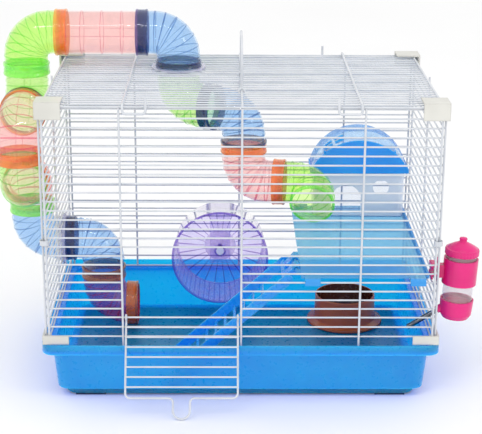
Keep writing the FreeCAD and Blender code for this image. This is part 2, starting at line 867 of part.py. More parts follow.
def coupling(label, centre, along, width="ring_width"):
    """A ring around the joint between two tunnels."""
    item = body(label)
    profile = circles(sketch_on(item, "XY_Plane"), "0", "0", RING_OUT, RING_IN)
    pad(item, profile, width)
    start = centre - along * (num(width) / 2)
    item.Placement = Placement(start, Rotation(Z_AXIS, along))


def collar(label, centre, along, near, far):
    """A flanged sleeve clamped through a grille; near and far are the wires' two faces."""
    item = body(label)
    end = far + " + rest_gap + collar_plate"
    profile = outline(sketch_on(item, "XZ_Plane"), [
        (RING_IN, near + " - collar_sleeve"),
        (RING_OUT, near + " - collar_sleeve"),
        (RING_OUT, near + " - rest_gap - collar_plate"),
        ("collar_flange", near + " - rest_gap - collar_plate"),
        ("collar_flange", near + " - rest_gap"),
        (RING_OUT, near + " - rest_gap"),
        (RING_OUT, far + " + rest_gap"),
        ("collar_flange", far + " + rest_gap"),
        ("collar_flange", end),
        (RING_IN, end),
    ])
    revolve(item, profile)
    item.Placement = Placement(centre, Rotation(Z_AXIS, along))


def build_tunnels():
    """The run of tunnels outside the cage and the two runs inside it."""
    gap = num("tube_gap")
    up = Z_AXIS
    down = Z_AXIS * -1
    left = X_AXIS * -1
    right = X_AXIS
    near = Y_AXIS * -1
    far = Y_AXIS
    top = Vector(num(TOP_HOLE_X), num("tunnel_y"), num(ROOF_Z))
    # outside: up from the roof, over the left end, and down in a zigzag
    spot = elbow("tunnel_01_blue_elbow", top + up * (gap / 2), up, left)
    coupling("ring_01_navy", spot + left * (gap / 2), left)
    spot = straight("tunnel_02_pink_straight", spot + left * gap, left)
    coupling("ring_02_orange", spot + left * (gap / 2), left)
    run = [
        ("tunnel_03_lime_elbow", left, down, "ring_03_green"),
        ("tunnel_04_green_elbow", down, near, "ring_04_orange"),
        ("tunnel_05_pink_elbow", near, down, "ring_05_orange"),
        ("tunnel_06_green_elbow", down, far, "ring_06_orange"),
        ("tunnel_07_pink_elbow", far, down, "ring_07_green"),
    ]
    spot = spot + left * gap
    for label, inward, outward, ring in run:
        spot = elbow(label, spot, inward, outward)
        coupling(ring, spot + outward * (gap / 2), outward)
        spot = spot + outward * gap
    spot = elbow("tunnel_08_blue_elbow", spot, down, right)
    side_joint = spot + right * (gap / 2)
    # inside, low: in from the left end and down to the tray
    spot = elbow("tunnel_09_blue_elbow", spot + right * gap, right, down)
    coupling("ring_09_brown", spot + down * (gap / 2), down)
    spot = elbow("tunnel_10_magenta_elbow", spot + down * gap, down, right)
    on_leg = num(ELBOW_LEG + " + mouth_ring_over - ring_width / 2")
    coupling("ring_10_orange", spot - right * on_leg, right)
    # inside, high: down from the roof to the mouth over the shelf
    turned = Rotation(Z_AXIS, -num("inner_turn")).multVec(right)
    spot = elbow("tunnel_11_green_elbow", top + down * (gap / 2), down, turned)
    coupling("ring_11_navy", spot + turned * (gap / 2), turned)
    spot = elbow("tunnel_12_blue_elbow", spot + turned * gap, turned, down)
    coupling("ring_12_orange", spot + down * (gap / 2), down)
    lower = Rotation(Z_AXIS, -num("lower_turn")).multVec(right)
    spot = elbow("tunnel_13_pink_elbow", spot + down * gap, down, lower)
    coupling("ring_13_orange", spot + lower * (gap / 2), lower)
    sideways = Rotation(Z_AXIS, -90).multVec(lower)
    mouth = Rotation(lower, num("mouth_tilt")).multVec(sideways)
    if mouth.z > 0:
        mouth = Rotation(lower, -num("mouth_tilt")).multVec(sideways)
    mouth_start = spot + lower * gap
    spot = elbow("tunnel_14_green_elbow", mouth_start, lower, mouth)
    print("mouth: swivel at %s along %s, rim %s" % (mouth_start, lower, spot))
    return top, side_joint


# ------------------------------------------------------------------- wheel
def build_wheel():
    """Running drum, open at the front, on an axle carried by a hanger."""
    y_back = num(FRONT + " - " + ROW_BACK + " - row_wire - rest_gap - bracket_plate")
    y_drum_back = y_back - num("bracket_boss")
    drum = body("wheel_drum")
    bore = "(axle_radius + axle_fit)"
    wheel_back_radius = "(wheel_front_radius - wheel_taper)"
    cone_run = "wheel_depth - wheel_cone"
    profile = outline(sketch_on(drum, "XZ_Plane"), [
        ("wheel_front_radius", "0"),
        ("wheel_front_radius", "wheel_lip"),
        ("wheel_front_radius - wheel_lip + wheel_wall", "2 * wheel_lip"),
        (wheel_back_radius, "wheel_depth"),
        (bore + " + hub_radius", cone_run),
        (bore, cone_run),
        (bore, cone_run + " - hub_length"),
        ("hub_radius", cone_run + " - hub_length"),
        ("hub_radius", cone_run + " - 2 * wheel_wall"),
        ("2 * hub_radius", cone_run + " - wheel_wall"),
        (wheel_back_radius + " - wheel_wall", "wheel_depth - wheel_wall"),
        ("wheel_front_radius - wheel_lip", "2 * wheel_lip"),
        ("wheel_front_radius - wheel_lip", "0"),
    ])
    revolve(drum, profile)
    y_face = y_drum_back - num("wheel_end_gap")
    drum_y = y_face + num("wheel_cone") - num("wheel_depth")
    turn = Rotation(X_AXIS, -90)
    drum.Placement = Placement(Vector(num("wheel_x"), drum_y, num("wheel_z")), turn)
    hub_front = y_face - num("hub_length")
    head_y = hub_front - num("wheel_end_gap + axle_head_length")
    pin = rod("y", "wheel_x", head_y, "wheel_z", y_drum_back - head_y, "axle_radius")
    head = rod("y", "wheel_x", head_y, "wheel_z", "axle_head_length", "axle_head")
    node("wheel_axle", fuse(pin, head))
    plate = block("wheel_x - bracket_width / 2", y_back, "wheel_z - bracket_low",
                  "bracket_width", "bracket_plate", "bracket_low + bracket_high")
    boss = rod("y", "wheel_x", y_drum_back, "wheel_z", "bracket_boss", "hub_radius")
    pieces = [plate, boss]
    for level in LEVELS:
        above = num(level) - num("wheel_z + bracket_high")
        below = num(level) - num("wheel_z - bracket_low")
        if -2 * num("row_pitch") < above <= -num("row_pitch") or 0 < below <= num("row_pitch"):
            pieces += row_hook("wheel_x - hook_width / 2", "hook_width", y_back, level, 1)
    node("wheel_bracket", fuse(*pieces))
    print("wheel: drum from y %.2f to %.2f" % (drum_y, y_face + num("wheel_cone")))


def row_hook(x, width, y_plate, level, sign):
    """An arm over one row of the back or front grille with a lip behind it."""
    y_row = "%d * (%s - %s)" % (sign, FRONT, ROW_BACK)
    wire_back = num(y_row) + sign * num("row_wire + rest_gap")
    lip_end = wire_back + sign * num("hook_lip")
    arm_low = "%s + row_wire + rest_gap" % level
    lip_low = "%s - hook_drop" % level
    first = min(y_plate, lip_end)
    arm = block(x, first, arm_low, width, abs(lip_end - y_plate), "hook_arm")
    lip_first = min(wire_back, lip_end)
    lip = block(x, lip_first, lip_low, width, "hook_lip",
                "hook_drop + row_wire + rest_gap + hook_arm")
    return [arm, lip]


# ------------------------------------------------------------------- shelf
def clear_of_uprights(x, width):
    """Where a hook of a width starts, moved past an upright of the grille that it would meet."""
    for upright in UPRIGHTS:
        reach = num("post_wire + rest_gap")
        if num(x) - reach < num(upright) < num(x) + num(width) + reach:
            return "%s + post_wire + rest_gap" % upright
    return x


def build_shelf():
    """Shelf hooked onto the front and back grilles, with a rod for the ramp."""
    row_face = num("%s - %s - row_wire" % (FRONT, ROW_BACK))
    y_front = -row_face + num("shelf_front_gap")
    y_back = row_face - num("shelf_back_gap")
    depth = y_back - y_front
    low = SHELF_LEVEL + " - shelf_plate"
    plate = block(SHELF_LEFT, y_front, low, "shelf_length", depth, "shelf_plate")
    left = block(SHELF_LEFT, y_front, low, "shelf_plate", depth, "shelf_plate + shelf_lip")
    right = block(SHELF_RIGHT + " - shelf_plate", y_front, low, "shelf_plate", depth,
                  "shelf_plate + shelf_lip")
    pieces = [plate, left, right]
    arm_low = "%s + row_wire + rest_gap" % SHELF_ROW
    arm_height = "%s - (%s)" % (SHELF_LEVEL, arm_low)
    for sign in (-1, 1):
        wire_out = sign * (row_face + num("2 * row_wire + rest_gap"))
        lip_end = wire_out + sign * num("hook_lip")
        inner = y_front + 2 if sign < 0 else y_back - 2
        spots = [SHELF_LEFT + " + shelf_hook_margin",
                 SHELF_RIGHT + " - shelf_hook_margin - shelf_hook_width"]
        for x in (clear_of_uprights(spot, "shelf_hook_width") for spot in spots):
            pieces.append(block(x, min(inner, lip_end), arm_low, "shelf_hook_width",
                                abs(lip_end - inner), arm_height))
            pieces.append(block(x, min(wire_out, lip_end), "%s - hook_drop" % SHELF_ROW,
                                "shelf_hook_width", "hook_lip",
                                "%s - (%s - hook_drop)" % (SHELF_LEVEL, SHELF_ROW)))
    # rod for the ramp, carried by three ears
    rod_x = SHELF_LEFT + " - rod_offset"
    pieces.append(rod("y", rod_x, "ramp_front + ramp_rail", ROD_Z, "ramp_width - 2 * ramp_rail",
                      "rod_radius"))
    room = num("ramp_width - 2 * ramp_rail - rod_ear")
    for share in (0.0, 0.5, 1.0):
        y = num("ramp_front + ramp_rail") + share * room
        pieces.append(block(rod_x, y, "%s - rod_radius" % ROD_Z, "rod_offset + shelf_plate / 2",
                            "rod_ear", "2 * rod_radius"))
    node("shelf", fuse(*pieces))


ROD_Z = "(%s + rod_rise)" % SHELF_LEVEL


def build_ramp():
    """Ladder ramp with two rails and square rungs, hung on the shelf's rod."""
    angle = num("ramp_angle")
    slope = Rotation(Y_AXIS, -angle)
    pivot = Vector(num(SHELF_LEFT + " - rod_offset"), 0, num(ROD_Z))
    head = num("ramp_head")
    floor = num("floor_level + rest_gap")
    half = num("ramp_rail_height") / 2
    lowest = half * math.cos(math.radians(angle))
    drop = pivot.z - floor - lowest
    length = drop / math.sin(math.radians(angle))
    foot = pivot - slope.multVec(X_AXIS) * length
    pieces = []
    y_front = num("ramp_front")
    y_back = y_front + num("ramp_width")
    rail_length = length - head
    for y in (y_front, y_back - num("ramp_rail")):
        rail = Part.makeBox(rail_length, num("ramp_rail"), 2 * half, Vector(0, y, -half))
        nose = Part.makeCylinder(half, num("ramp_rail"), Vector(rail_length, y, 0), Y_AXIS)
        pieces += [rail, nose]
    rung = num("ramp_rung")
    pitch = num("ramp_rung_pitch")
    count = int((rail_length - 2 * pitch) / pitch)
    low = num("ramp_rung_rise") - half
    for k in range(1, count + 1):
        pieces.append(Part.makeBox(rung, num("ramp_width"), rung,
                                   Vector(k * pitch, y_front, low)))
    # head bar and the two rings around the shelf's rod
    bar = Part.makeBox(2 * rung, num("ramp_width"), 2 * half - 3 * num("ramp_rung_rise"),
                       Vector(rail_length - 2 * rung, y_front, low))
    pieces.append(bar)
    inner = num("rod_radius + ramp_ring_gap")
    outer = inner + num("ramp_ring_wall")
    width = num("ramp_ring_width")
    y_ear = num("ramp_front + ramp_rail + rod_ear")
    room = (num("ramp_width - 2 * ramp_rail - 3 * rod_ear") / 2 - width) / 2
    y_second = y_back - num("ramp_rail + rod_ear") - room - width
    for y in (y_ear + room, y_second):
        arm = Part.makeBox(head + rung - inner, width, num("ramp_arm"),
                           Vector(rail_length - rung, y, -num("ramp_arm") / 2))
        boss = Part.makeCylinder(outer, width, Vector(length, y, 0), Y_AXIS)
        pieces += [arm, boss]
    solid = pieces[0].multiFuse(pieces[1:])
    for y in (y_ear + room, y_second):
        solid = solid.cut(Part.makeCylinder(inner, width + 2, Vector(length, y - 1, 0), Y_AXIS))
    # the feet are cut level with the tray's floor
    turn = Rotation(Y_AXIS, -angle)
    solid.Placement = Placement(Vector(foot.x, 0, foot.z), turn)
    below = Part.makeBox(length, num("tray_width"), floor,
                         Vector(foot.x - length / 2, -num("tray_width") / 2, 0))
    ramp = doc.addObject("Part::Feature", "Ramp")
    ramp.Shape = solid.cut(below)
    node("ramp", ramp)
    print("ramp: pivot %s, foot x %.1f, length %.1f" % (pivot, foot.x, length))


# ------------------------------------------------------------------- house
HOUSE_Z = "(%s + rest_gap)" % SHELF_LEVEL
WALL_TOP = "(%s + house_height)" % HOUSE_Z
HOUSE_LEFT = "(" + SHELF_LEFT + " + house_inset)"
EAVE_LEFT = "(" + HOUSE_LEFT + " - eave_over)"
EAVE_LENGTH = "(house_length + 2 * eave_over)"
EAVE_FRONT = "(house_front - eave_over)"
EAVE_WIDTH = "(house_width + eave_over)"
VAULT_HALF = "(house_length / 2 + eave_over - vault_gap)"
HOUSE_MIDDLE = "(" + HOUSE_LEFT + " + house_length / 2)"


def build_house_walls():
    """Open-topped box with a doorway, a window and four feet."""
    z_low = HOUSE_Z + " + house_foot"
    shell = doc.addObject("PartDesign::Body", "HouseShell")
    outside = rounded_rectangle(sketch_on(shell, "XY_Plane"), "house_length", "house_width",
                                "house_corner")
    pad(shell, outside, "house_height - house_foot")
    inside = rounded_rectangle(sketch_on(shell, "XY_Plane", "house_wall"),
                               "house_length - 2 * house_wall", "house_width - 2 * house_wall",
                               "house_corner - house_wall")
    pocket(shell, inside, "house_height - house_foot", reverse=True)
    place(shell, HOUSE_MIDDLE, "house_front + house_width / 2", z_low, Rotation())
    doorway = block(HOUSE_LEFT + " + doorway_offset", "house_front - 1", z_low + " - 1",
                    "doorway_width", "2 + house_wall", "1 + doorway_height - doorway_width / 4")
    arch = rod("y", HOUSE_LEFT + " + doorway_offset + doorway_width / 2", "house_front - 1",
               z_low + " + doorway_height - doorway_width / 2", "2 + house_wall",
               "doorway_width / 2")
    window = common(
        rod("y", HOUSE_LEFT + " + window_offset", "house_front - 1", HOUSE_Z + " + window_level",
            "2 + house_wall", "window_width / 2"),
        block(HOUSE_LEFT + " + window_offset - window_width / 2", "house_front - 1",
              HOUSE_Z + " + window_level - window_height / 2 + 1", "window_width",
              "2 + house_wall", "window_height"))
    feet = []
    for x in (HOUSE_LEFT + " + house_corner", HOUSE_LEFT + " + house_length - house_corner - 4"):
        for y in ("house_front + house_corner", "house_front + house_width - house_corner - 4"):
            feet.append(block(x, y, HOUSE_Z, "4", "4", "house_foot + house_wall / 2"))
    node("house_walls", fuse(cut(shell, doorway, arch, window), *feet))


def vault(rise, y, length, wall="0"):
    """The part of a lying cylinder above the eave, or what is left of it inside a wall."""
    radius = "((%s ^ 2 + %s ^ 2) / (2 * %s))" % (VAULT_HALF, rise, rise)
    centre_z = "%s + eave_height + %s - %s" % (WALL_TOP, rise, radius)
    lying = rod("y", HOUSE_MIDDLE, y, centre_z, length, radius + " - " + wall)
    above = block("%s - house_length" % HOUSE_MIDDLE, y, WALL_TOP + " + eave_height",
                  "2 * house_length", length, "2 * " + rise)
    return common(lying, above)


def build_house_roof():
    """Blue eave frame with the front gable and two latch blocks."""
    low = WALL_TOP + " + rest_gap"
    eave = block(EAVE_LEFT, EAVE_FRONT, low, EAVE_LENGTH, EAVE_WIDTH, "eave_height - rest_gap")
    room = block(EAVE_LEFT + " + eave_wall + eave_over", EAVE_FRONT + " + eave_wall + eave_over",
                 low + " - 1", EAVE_LENGTH + " - 2 * eave_wall - 2 * eave_over",
                 EAVE_WIDTH + " - 2 * eave_wall - eave_over", "eave_height + 2")
    gable = vault("gable_rise", EAVE_FRONT, "gable_depth")
    pieces = [cut(eave, room), gable]
    z_latch = WALL_TOP + " + eave_height"
    for x in ("%s + latch_inset" % EAVE_LEFT,
              "%s + %s - latch_inset - latch_length" % (EAVE_LEFT, EAVE_LENGTH)):
        pieces.append(block(x, EAVE_FRONT + " + gable_depth", z_latch + " - 1",
                            "latch_length", "latch_width", "latch_height + 1"))
    node("house_roof", fuse(*pieces))


def build_house_vault():
    """Clear vault behind the gable."""
    y = EAVE_FRONT + " + gable_depth"
    length = EAVE_WIDTH + " - gable_depth"
    outside = vault("vault_rise", y, length)
    inside = vault("vault_rise", y, length, "vault_wall")
    node("house_vault", cut(outside, inside))


# --------------------------------------------------------------- food dish
def build_dish():
    """Heavy dish with a wide foot, standing on the tray's floor."""
    dish = body("food_dish")
    profile = outline(sketch_on(dish, "XZ_Plane"), [
        ("0", "dish_base"),
        ("dish_radius - 3 * dish_wall", "dish_base"),
        ("dish_radius - 3 * dish_wall", "0"),
        ("dish_base_radius - 1", "0"),
        ("dish_base_radius", "dish_base"),
        ("dish_base_radius - 3", "dish_base + 1.5"),
        ("dish_radius + 1", "dish_base + 2.5"),
        ("dish_radius", "dish_height"),
        ("dish_radius - dish_wall", "dish_height"),
        ("dish_radius - dish_wall - 2", "dish_floor + 3"),
        ("dish_radius - dish_wall - 7", "dish_floor"),
        ("0", "dish_floor"),
    ])
    revolve(dish, profile)
    place(dish, SIDE + " - dish_from_side", "dish_y", "floor_level + rest_gap", Rotation())


# ------------------------------------------------------------ water bottle
BOTTLE_TURN = Rotation(Y_AXIS, num("bottle_tilt"))
BOTTLE_X = "(" + SIDE + " + bottle_radius + bottle_standoff)"
TOP_CAP_RADIUS = "(bottle_radius + cap_gap + top_cap_wall)"
LOWER_CAP_RADIUS = "(bottle_radius + cup_gap + lower_cap_wall)"
SPOUT_ROOT_X = "(" + SIDE + " + spout_root_out)"
SPOUT_TIP_X = "(" + SIDE + " - spout_reach_in)"


def on_bottle(item):
    """Stand a piece that is modelled upright on the bottle's leaning axis."""
    return place(item, BOTTLE_X, "bottle_y", "bottle_level", BOTTLE_TURN)


def build_bottle():
    """Clear bottle, its two caps and the band that hangs it on the end grille."""
    top = "bottle_start + bottle_length"
    bottle = body("bottle_body")
    revolve(bottle, outline(sketch_on(bottle, "XZ_Plane"), [
        ("bottle_radius - bottle_wall", "bottle_start"),
        ("bottle_radius", "bottle_start"),
        ("bottle_radius", top),
        ("bottle_radius - bottle_wall", top),
    ]))
    on_bottle(bottle)

    cap = body("bottle_top_cap")
    skirt = top + " - 4"
    cap_top = skirt + " + top_cap_height"
    revolve(cap, outline(sketch_on(cap, "XZ_Plane"), [
        ("0", cap_top + " - top_cap_wall"),
        (TOP_CAP_RADIUS + " - top_cap_wall", cap_top + " - top_cap_wall"),
        (TOP_CAP_RADIUS + " - top_cap_wall", skirt),
        (TOP_CAP_RADIUS, skirt),
        (TOP_CAP_RADIUS, cap_top + " - 2"),
        (TOP_CAP_RADIUS + " - 2", cap_top),
        ("knob_radius + 5", cap_top + " + 1"),
        ("knob_radius", cap_top + " + knob_height - 2"),
        ("knob_radius - 2", cap_top + " + knob_height"),
        ("0", cap_top + " + knob_height"),
    ]))
    on_bottle(cap)

    inner = "bottle_radius + cup_gap"
    cup = doc.addObject("PartDesign::Body", "LowerCup")
    revolve(cup, outline(sketch_on(cup, "XZ_Plane"), [
        ("0", "0"),
        (LOWER_CAP_RADIUS + " - 4", "0"),
        (LOWER_CAP_RADIUS + " - 1", "5"),
        (LOWER_CAP_RADIUS, "lower_cap_height - 3"),
        (LOWER_CAP_RADIUS, "lower_cap_height"),
        (inner, "lower_cap_height"),
        (inner, "bottle_start - cup_gap"),
        ("bottle_radius - bottle_wall - 2", "bottle_start - cup_gap"),
        ("bottle_radius - bottle_wall - 4", "7"),
        ("0", "7"),
    ]))
    on_bottle(cup)
    # socket for the spout, and the spout itself, at the spout's own angle
    angle = num("spout_angle")
    root = spout_point(SPOUT_ROOT_X)
    direction = spout_direction()
    inward = direction * -1
    reach = num(BOTTLE_X + " - " + SPOUT_ROOT_X) / math.cos(math.radians(angle)) - 8
    socket = doc.addObject("Part::Cylinder", "Socket")
    bind(socket, Radius="spout_socket")
    socket.Height = reach
    socket.Placement = Placement(root, Rotation(Z_AXIS, inward))
    bore = doc.addObject("Part::Cylinder", "SpoutBore")
    bind(bore, Radius="spout_radius - spout_wall")
    bore.Height = reach + 1
    bore.Placement = Placement(root - inward, Rotation(Z_AXIS, inward))
    node("bottle_lower_cap", cut(fuse(cup, socket), bore))

    tip = spout_point(SPOUT_TIP_X)
    length = (root - tip).Length
    spout = doc.addObject("Part::Feature", "Spout")
    tube = Part.makeCylinder(num("spout_radius"), length)
    hole = Part.makeCylinder(num("spout_radius - spout_wall"), length - 2, Vector(0, 0, -1))
    stand = num("ball_stand")
    seat_radius = num("ball_radius") - 0.5
    mouth = Part.makeCylinder(seat_radius, 8, Vector(0, 0, length - 4))
    ball_z = length - num("ball_radius") + stand
    seat = Part.makeSphere(num("ball_radius + ball_gap"), Vector(0, 0, ball_z))
    room = Part.makeCylinder(num("ball_radius + ball_gap"), 4,
                             Vector(0, 0, ball_z - 4))
    tube = tube.cut(hole).cut(mouth).cut(seat).cut(room)
    turn = Rotation(Z_AXIS, direction)
    spout.Shape = tube
    spout.Placement = Placement(root, turn)
    node("spout_tube", spout)
    ball = doc.addObject("Part::Sphere", "Ball")
    bind(ball, Radius="ball_radius")
    ball.Placement = Placement(root + direction * ball_z, Rotation())
    node("spout_ball", ball)
    print("spout: root %s, tip %s, direction %s" % (root, tip, direction))


def spout_direction():
    """Down and into the cage."""
    angle = math.radians(num("spout_angle"))
    return Vector(-math.cos(angle), 0, -math.sin(angle))


def spout_point(x_size):
    """A point of the spout's axis, which runs between two rows of the end grille."""
    upper = num(LEVELS[HINGE_ROW])
    lower = num(LEVELS[HINGE_ROW + 1])
    share = num("spout_row_share")
    z_cross = lower + share * (upper - lower)
    x_cross = num("%s - %s" % (SIDE, ROW_BACK))
    slope = math.tan(math.radians(num("spout_angle")))
    x = num(x_size)
    return Vector(x, num("bottle_y"), z_cross + (x - x_cross) * slope)


def build_holder():
    """Band round the bottle with a plate and two hooks on the end grille."""
    band = doc.addObject("PartDesign::Body", "Band")
    inner = "bottle_radius + cup_gap"
    outer = "bottle_radius + cup_gap + holder_wall"
    profile = circles(sketch_on(band, "XY_Plane", "holder_level"), "0", "0", outer, inner)
    pad(band, profile, "holder_height")
    on_bottle(band)
    wire_face = "(%s + post_wire + rest_gap)" % SIDE
    z_low = "bottle_level + holder_level"
    plate = block(wire_face, "bottle_y - holder_arm_width / 2", z_low, "holder_plate",
                  "holder_arm_width", "holder_height")
    arm = block(wire_face, "bottle_y - holder_arm_width / 4", z_low + " + holder_height / 4",
                BOTTLE_X + " - " + wire_face, "holder_arm_width / 2", "holder_height / 2")
    core = doc.addObject("Part::Cylinder", "Core")
    bind(core, Radius=inner, Height="holder_height * 3")
    on_bottle(core)
    pieces = [cut(fuse(band, plate, arm), core)]
    x_row = "(%s - %s)" % (SIDE, ROW_BACK)
    low = num(z_low)
    high = low + num("holder_height")
    inside = [level for level in LEVELS if low + 3 < num(level) < high - 6]
    for level in inside[:2]:
        x_lip = x_row + " - row_wire - rest_gap - holder_plate"
        arm_low = "%s + row_wire + rest_gap" % level
        y = "bottle_y - holder_arm_width / 2"
        pieces.append(block(x_lip, y, arm_low, "%s - (%s) + 1" % (wire_face, x_lip),
                            "holder_arm_width", "hook_arm"))
        pieces.append(block(x_lip, y, "%s - hook_drop" % level, "holder_plate",
                            "holder_arm_width", "hook_drop + row_wire + rest_gap + hook_arm"))
    node("bottle_holder", fuse(*pieces))


# ---------------------------------------------------------------- assembly
build_tray()
build_feet()
top_joint, side_joint = build_tunnels()
build_front_panel()
build_back_panel()
side_x = -num(SIDE)
side_hole = rod("x", side_x - 20, side_joint.y, side_joint.z, "40", HOLE)
build_side_panel("left_panel", "-", side_hole)
build_side_panel("right_panel", "")
top_hole = rod("z", TOP_HOLE_X, "tunnel_y", ROOF_Z + " - 20", "40", HOLE)
build_top_panel(top_hole)
collar("top_tunnel_collar", top_joint, Z_AXIS, "-row_wire", "row_wire")
coupling("ring_00_navy", top_joint + Z_AXIS * num(
    "row_wire + rest_gap + collar_plate + ring_gap + top_ring_width / 2"), Z_AXIS,
    "top_ring_width")
side_wires = Vector(side_x + num(ROW_BACK), side_joint.y, side_joint.z)
collar("side_tunnel_collar", side_wires, X_AXIS, "-row_wire", "row_wire")
coupling("ring_08_navy", side_wires + X_AXIS * num(
    "row_wire + rest_gap + collar_plate + ring_gap + side_ring_width / 2"), X_AXIS,
    "side_ring_width")
build_clip_wires()
build_corner_caps()
build_corner_boots()
build_post_clips()
build_front_door()
build_handle()
build_wheel()
build_shelf()
build_ramp()
build_house_walls()
build_house_roof()
build_house_vault()
build_dish()
build_bottle()
build_holder()

doc.recompute()


def centre_on_origin(item):
    """Move a finished sub-part with the tray's middle, bound to the sheet."""
    bound = {path.lstrip("."): formula for path, formula in item.ExpressionEngine}
    for axis, size in (("x", "tray_x"), ("y", "tray_y")):
        path = "Placement.Base." + axis
        here = bound.get(path, repr(getattr(item.Placement.Base, axis)))
        item.setExpression(path, "%s + Sizes.%s" % (here, size))


for item in NODES:
    centre_on_origin(item)
doc.recompute()

# ------------------------------------------------------------------- checks
problems = []
for item in doc.Objects:
    if "Invalid" in item.State or "Error" in item.State:
        problems.append("%s (%s): %s" % (item.Label, item.TypeId, item.State))
for item in NODES:
    shape = item.Shape
    if shape.isNull() or not shape.isValid() or not shape.Solids:
        problems.append("%s: bad shape" % item.Label)
if len(NODES) > 60:
    problems.append("%d nodes" % len(NODES))
if problems:
    raise RuntimeError("\n".join(problems))

os.makedirs("parts", exist_ok=True)
for item in NODES:
    box = item.Shape.BoundBox
    print("%-26s %d solid(s) %10.1f mm3  x %7.1f %7.1f  y %7.1f %7.1f  z %7.1f %7.1f" % (
        item.Label, len(item.Shape.Solids), item.Shape.Volume, box.XMin, box.XMax, box.YMin,
        box.YMax, box.ZMin, box.ZMax))
    item.Shape.exportStep(os.path.join("parts", item.Label + ".step"))
print("%d nodes" % len(NODES))
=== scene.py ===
"""Hamster cage with tunnels: the visual model around its fixed frame.

Lengths are in metres. A value whose name ends in _mm is in millimetres. The frame stands on
z = 0, with +X to the right and +Y to the back as seen from the door.
"""
import json
import logging
import math
from collections.abc import Callable, Iterable, Sequence
from dataclasses import dataclass, field
from enum import Enum

import bmesh
import bpy
from mathutils import Matrix, Vector


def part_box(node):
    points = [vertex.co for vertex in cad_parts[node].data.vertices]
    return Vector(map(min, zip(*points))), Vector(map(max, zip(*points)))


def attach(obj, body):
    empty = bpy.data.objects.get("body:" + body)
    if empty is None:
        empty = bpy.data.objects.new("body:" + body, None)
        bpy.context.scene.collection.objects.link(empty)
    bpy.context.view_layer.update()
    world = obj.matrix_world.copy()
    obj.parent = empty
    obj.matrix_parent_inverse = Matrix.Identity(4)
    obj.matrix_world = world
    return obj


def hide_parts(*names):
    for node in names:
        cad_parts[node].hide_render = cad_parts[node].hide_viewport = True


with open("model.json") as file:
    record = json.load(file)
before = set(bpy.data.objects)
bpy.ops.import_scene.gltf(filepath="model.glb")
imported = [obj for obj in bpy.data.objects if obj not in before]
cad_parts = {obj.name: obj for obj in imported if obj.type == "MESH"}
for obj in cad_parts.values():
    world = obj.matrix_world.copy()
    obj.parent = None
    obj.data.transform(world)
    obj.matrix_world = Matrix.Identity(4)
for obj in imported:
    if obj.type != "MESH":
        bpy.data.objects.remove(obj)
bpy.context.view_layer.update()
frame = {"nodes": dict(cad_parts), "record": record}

MM = 0.001
UP = Vector((0, 0, 1))
DOWN = -UP
RIGHT = Vector((1, 0, 0))
LEFT = -RIGHT
FAR = Vector((0, 1, 0))
NEAR = -FAR

log = logging.getLogger("hamster_cage")

Colour = tuple[float, float, float, float]


# ------------------------------------------------------------------ colours and nodes
def linear(code: str) -> Colour:
    """Turn an sRGB hex colour into linear light.

    Args:
        code: a colour such as "#3CA0F0".

    Returns:
        Linear red, green, blue and an alpha of one.
    """
    channels = []
    for at in (1, 3, 5):
        value = int(code[at:at + 2], 16) / 255
        channels.append(value / 12.92 if value <= 0.04045 else ((value + 0.055) / 1.055) ** 2.4)
    return (channels[0], channels[1], channels[2], 1.0)


def share_of(colour: Colour, faces: int) -> Colour:
    """Give the tint of one face, when light crosses several to take a colour.

    Args:
        colour: the linear colour after all the faces.
        faces: how many faces the light crosses.

    Returns:
        The linear colour that one face passes.
    """
    red, green, blue = (max(value, 0.002) ** (1 / faces) for value in colour[:3])
    return (red, green, blue, 1.0)


def add(
    tree: bpy.types.NodeTree,
    kind: str,
    inputs: dict[str | int, object] | None = None,
    **settings: object,
) -> bpy.types.Node:
    """Add a shader node with its settings, values and links.

    Args:
        tree: the node tree that gets the node.
        kind: the node's type, such as "ShaderNodeMix".
        inputs: what goes into the node's inputs, by name or index: a value, a socket, or a
            node, which stands for its first output.
        settings: the node's own properties.

    Returns:
        The new node.
    """
    node = tree.nodes.new(kind)
    for name, value in settings.items():
        setattr(node, name, value)
    for key, value in (inputs or {}).items():
        if isinstance(value, bpy.types.Node):
            value = value.outputs[0]
        if isinstance(value, bpy.types.NodeSocket):
            tree.links.new(value, node.inputs[key])
        else:
            node.inputs[key].default_value = value
    return node


# ------------------------------------------------------------------------- finishes
@dataclass(frozen=True)
class Finish:
    """What every finish has: a name, and the nodes that give a surface its look."""

    name: str

    def surface(self, tree: bpy.types.NodeTree) -> bpy.types.Node:
        """Add the nodes of the surface.

        Args:
            tree: the material's node tree.

        Returns:
            The node whose first output is the surface.
        """
        raise NotImplementedError

    def build(self) -> bpy.types.Material:
        """Make the material.

        Returns:
            The material, with the nodes of this finish.
        """
        material = bpy.data.materials.new(self.name)
        material.use_nodes = True
        tree = material.node_tree
        tree.nodes.clear()
        add(tree, "ShaderNodeOutputMaterial", {"Surface": self.surface(tree)})
        return material


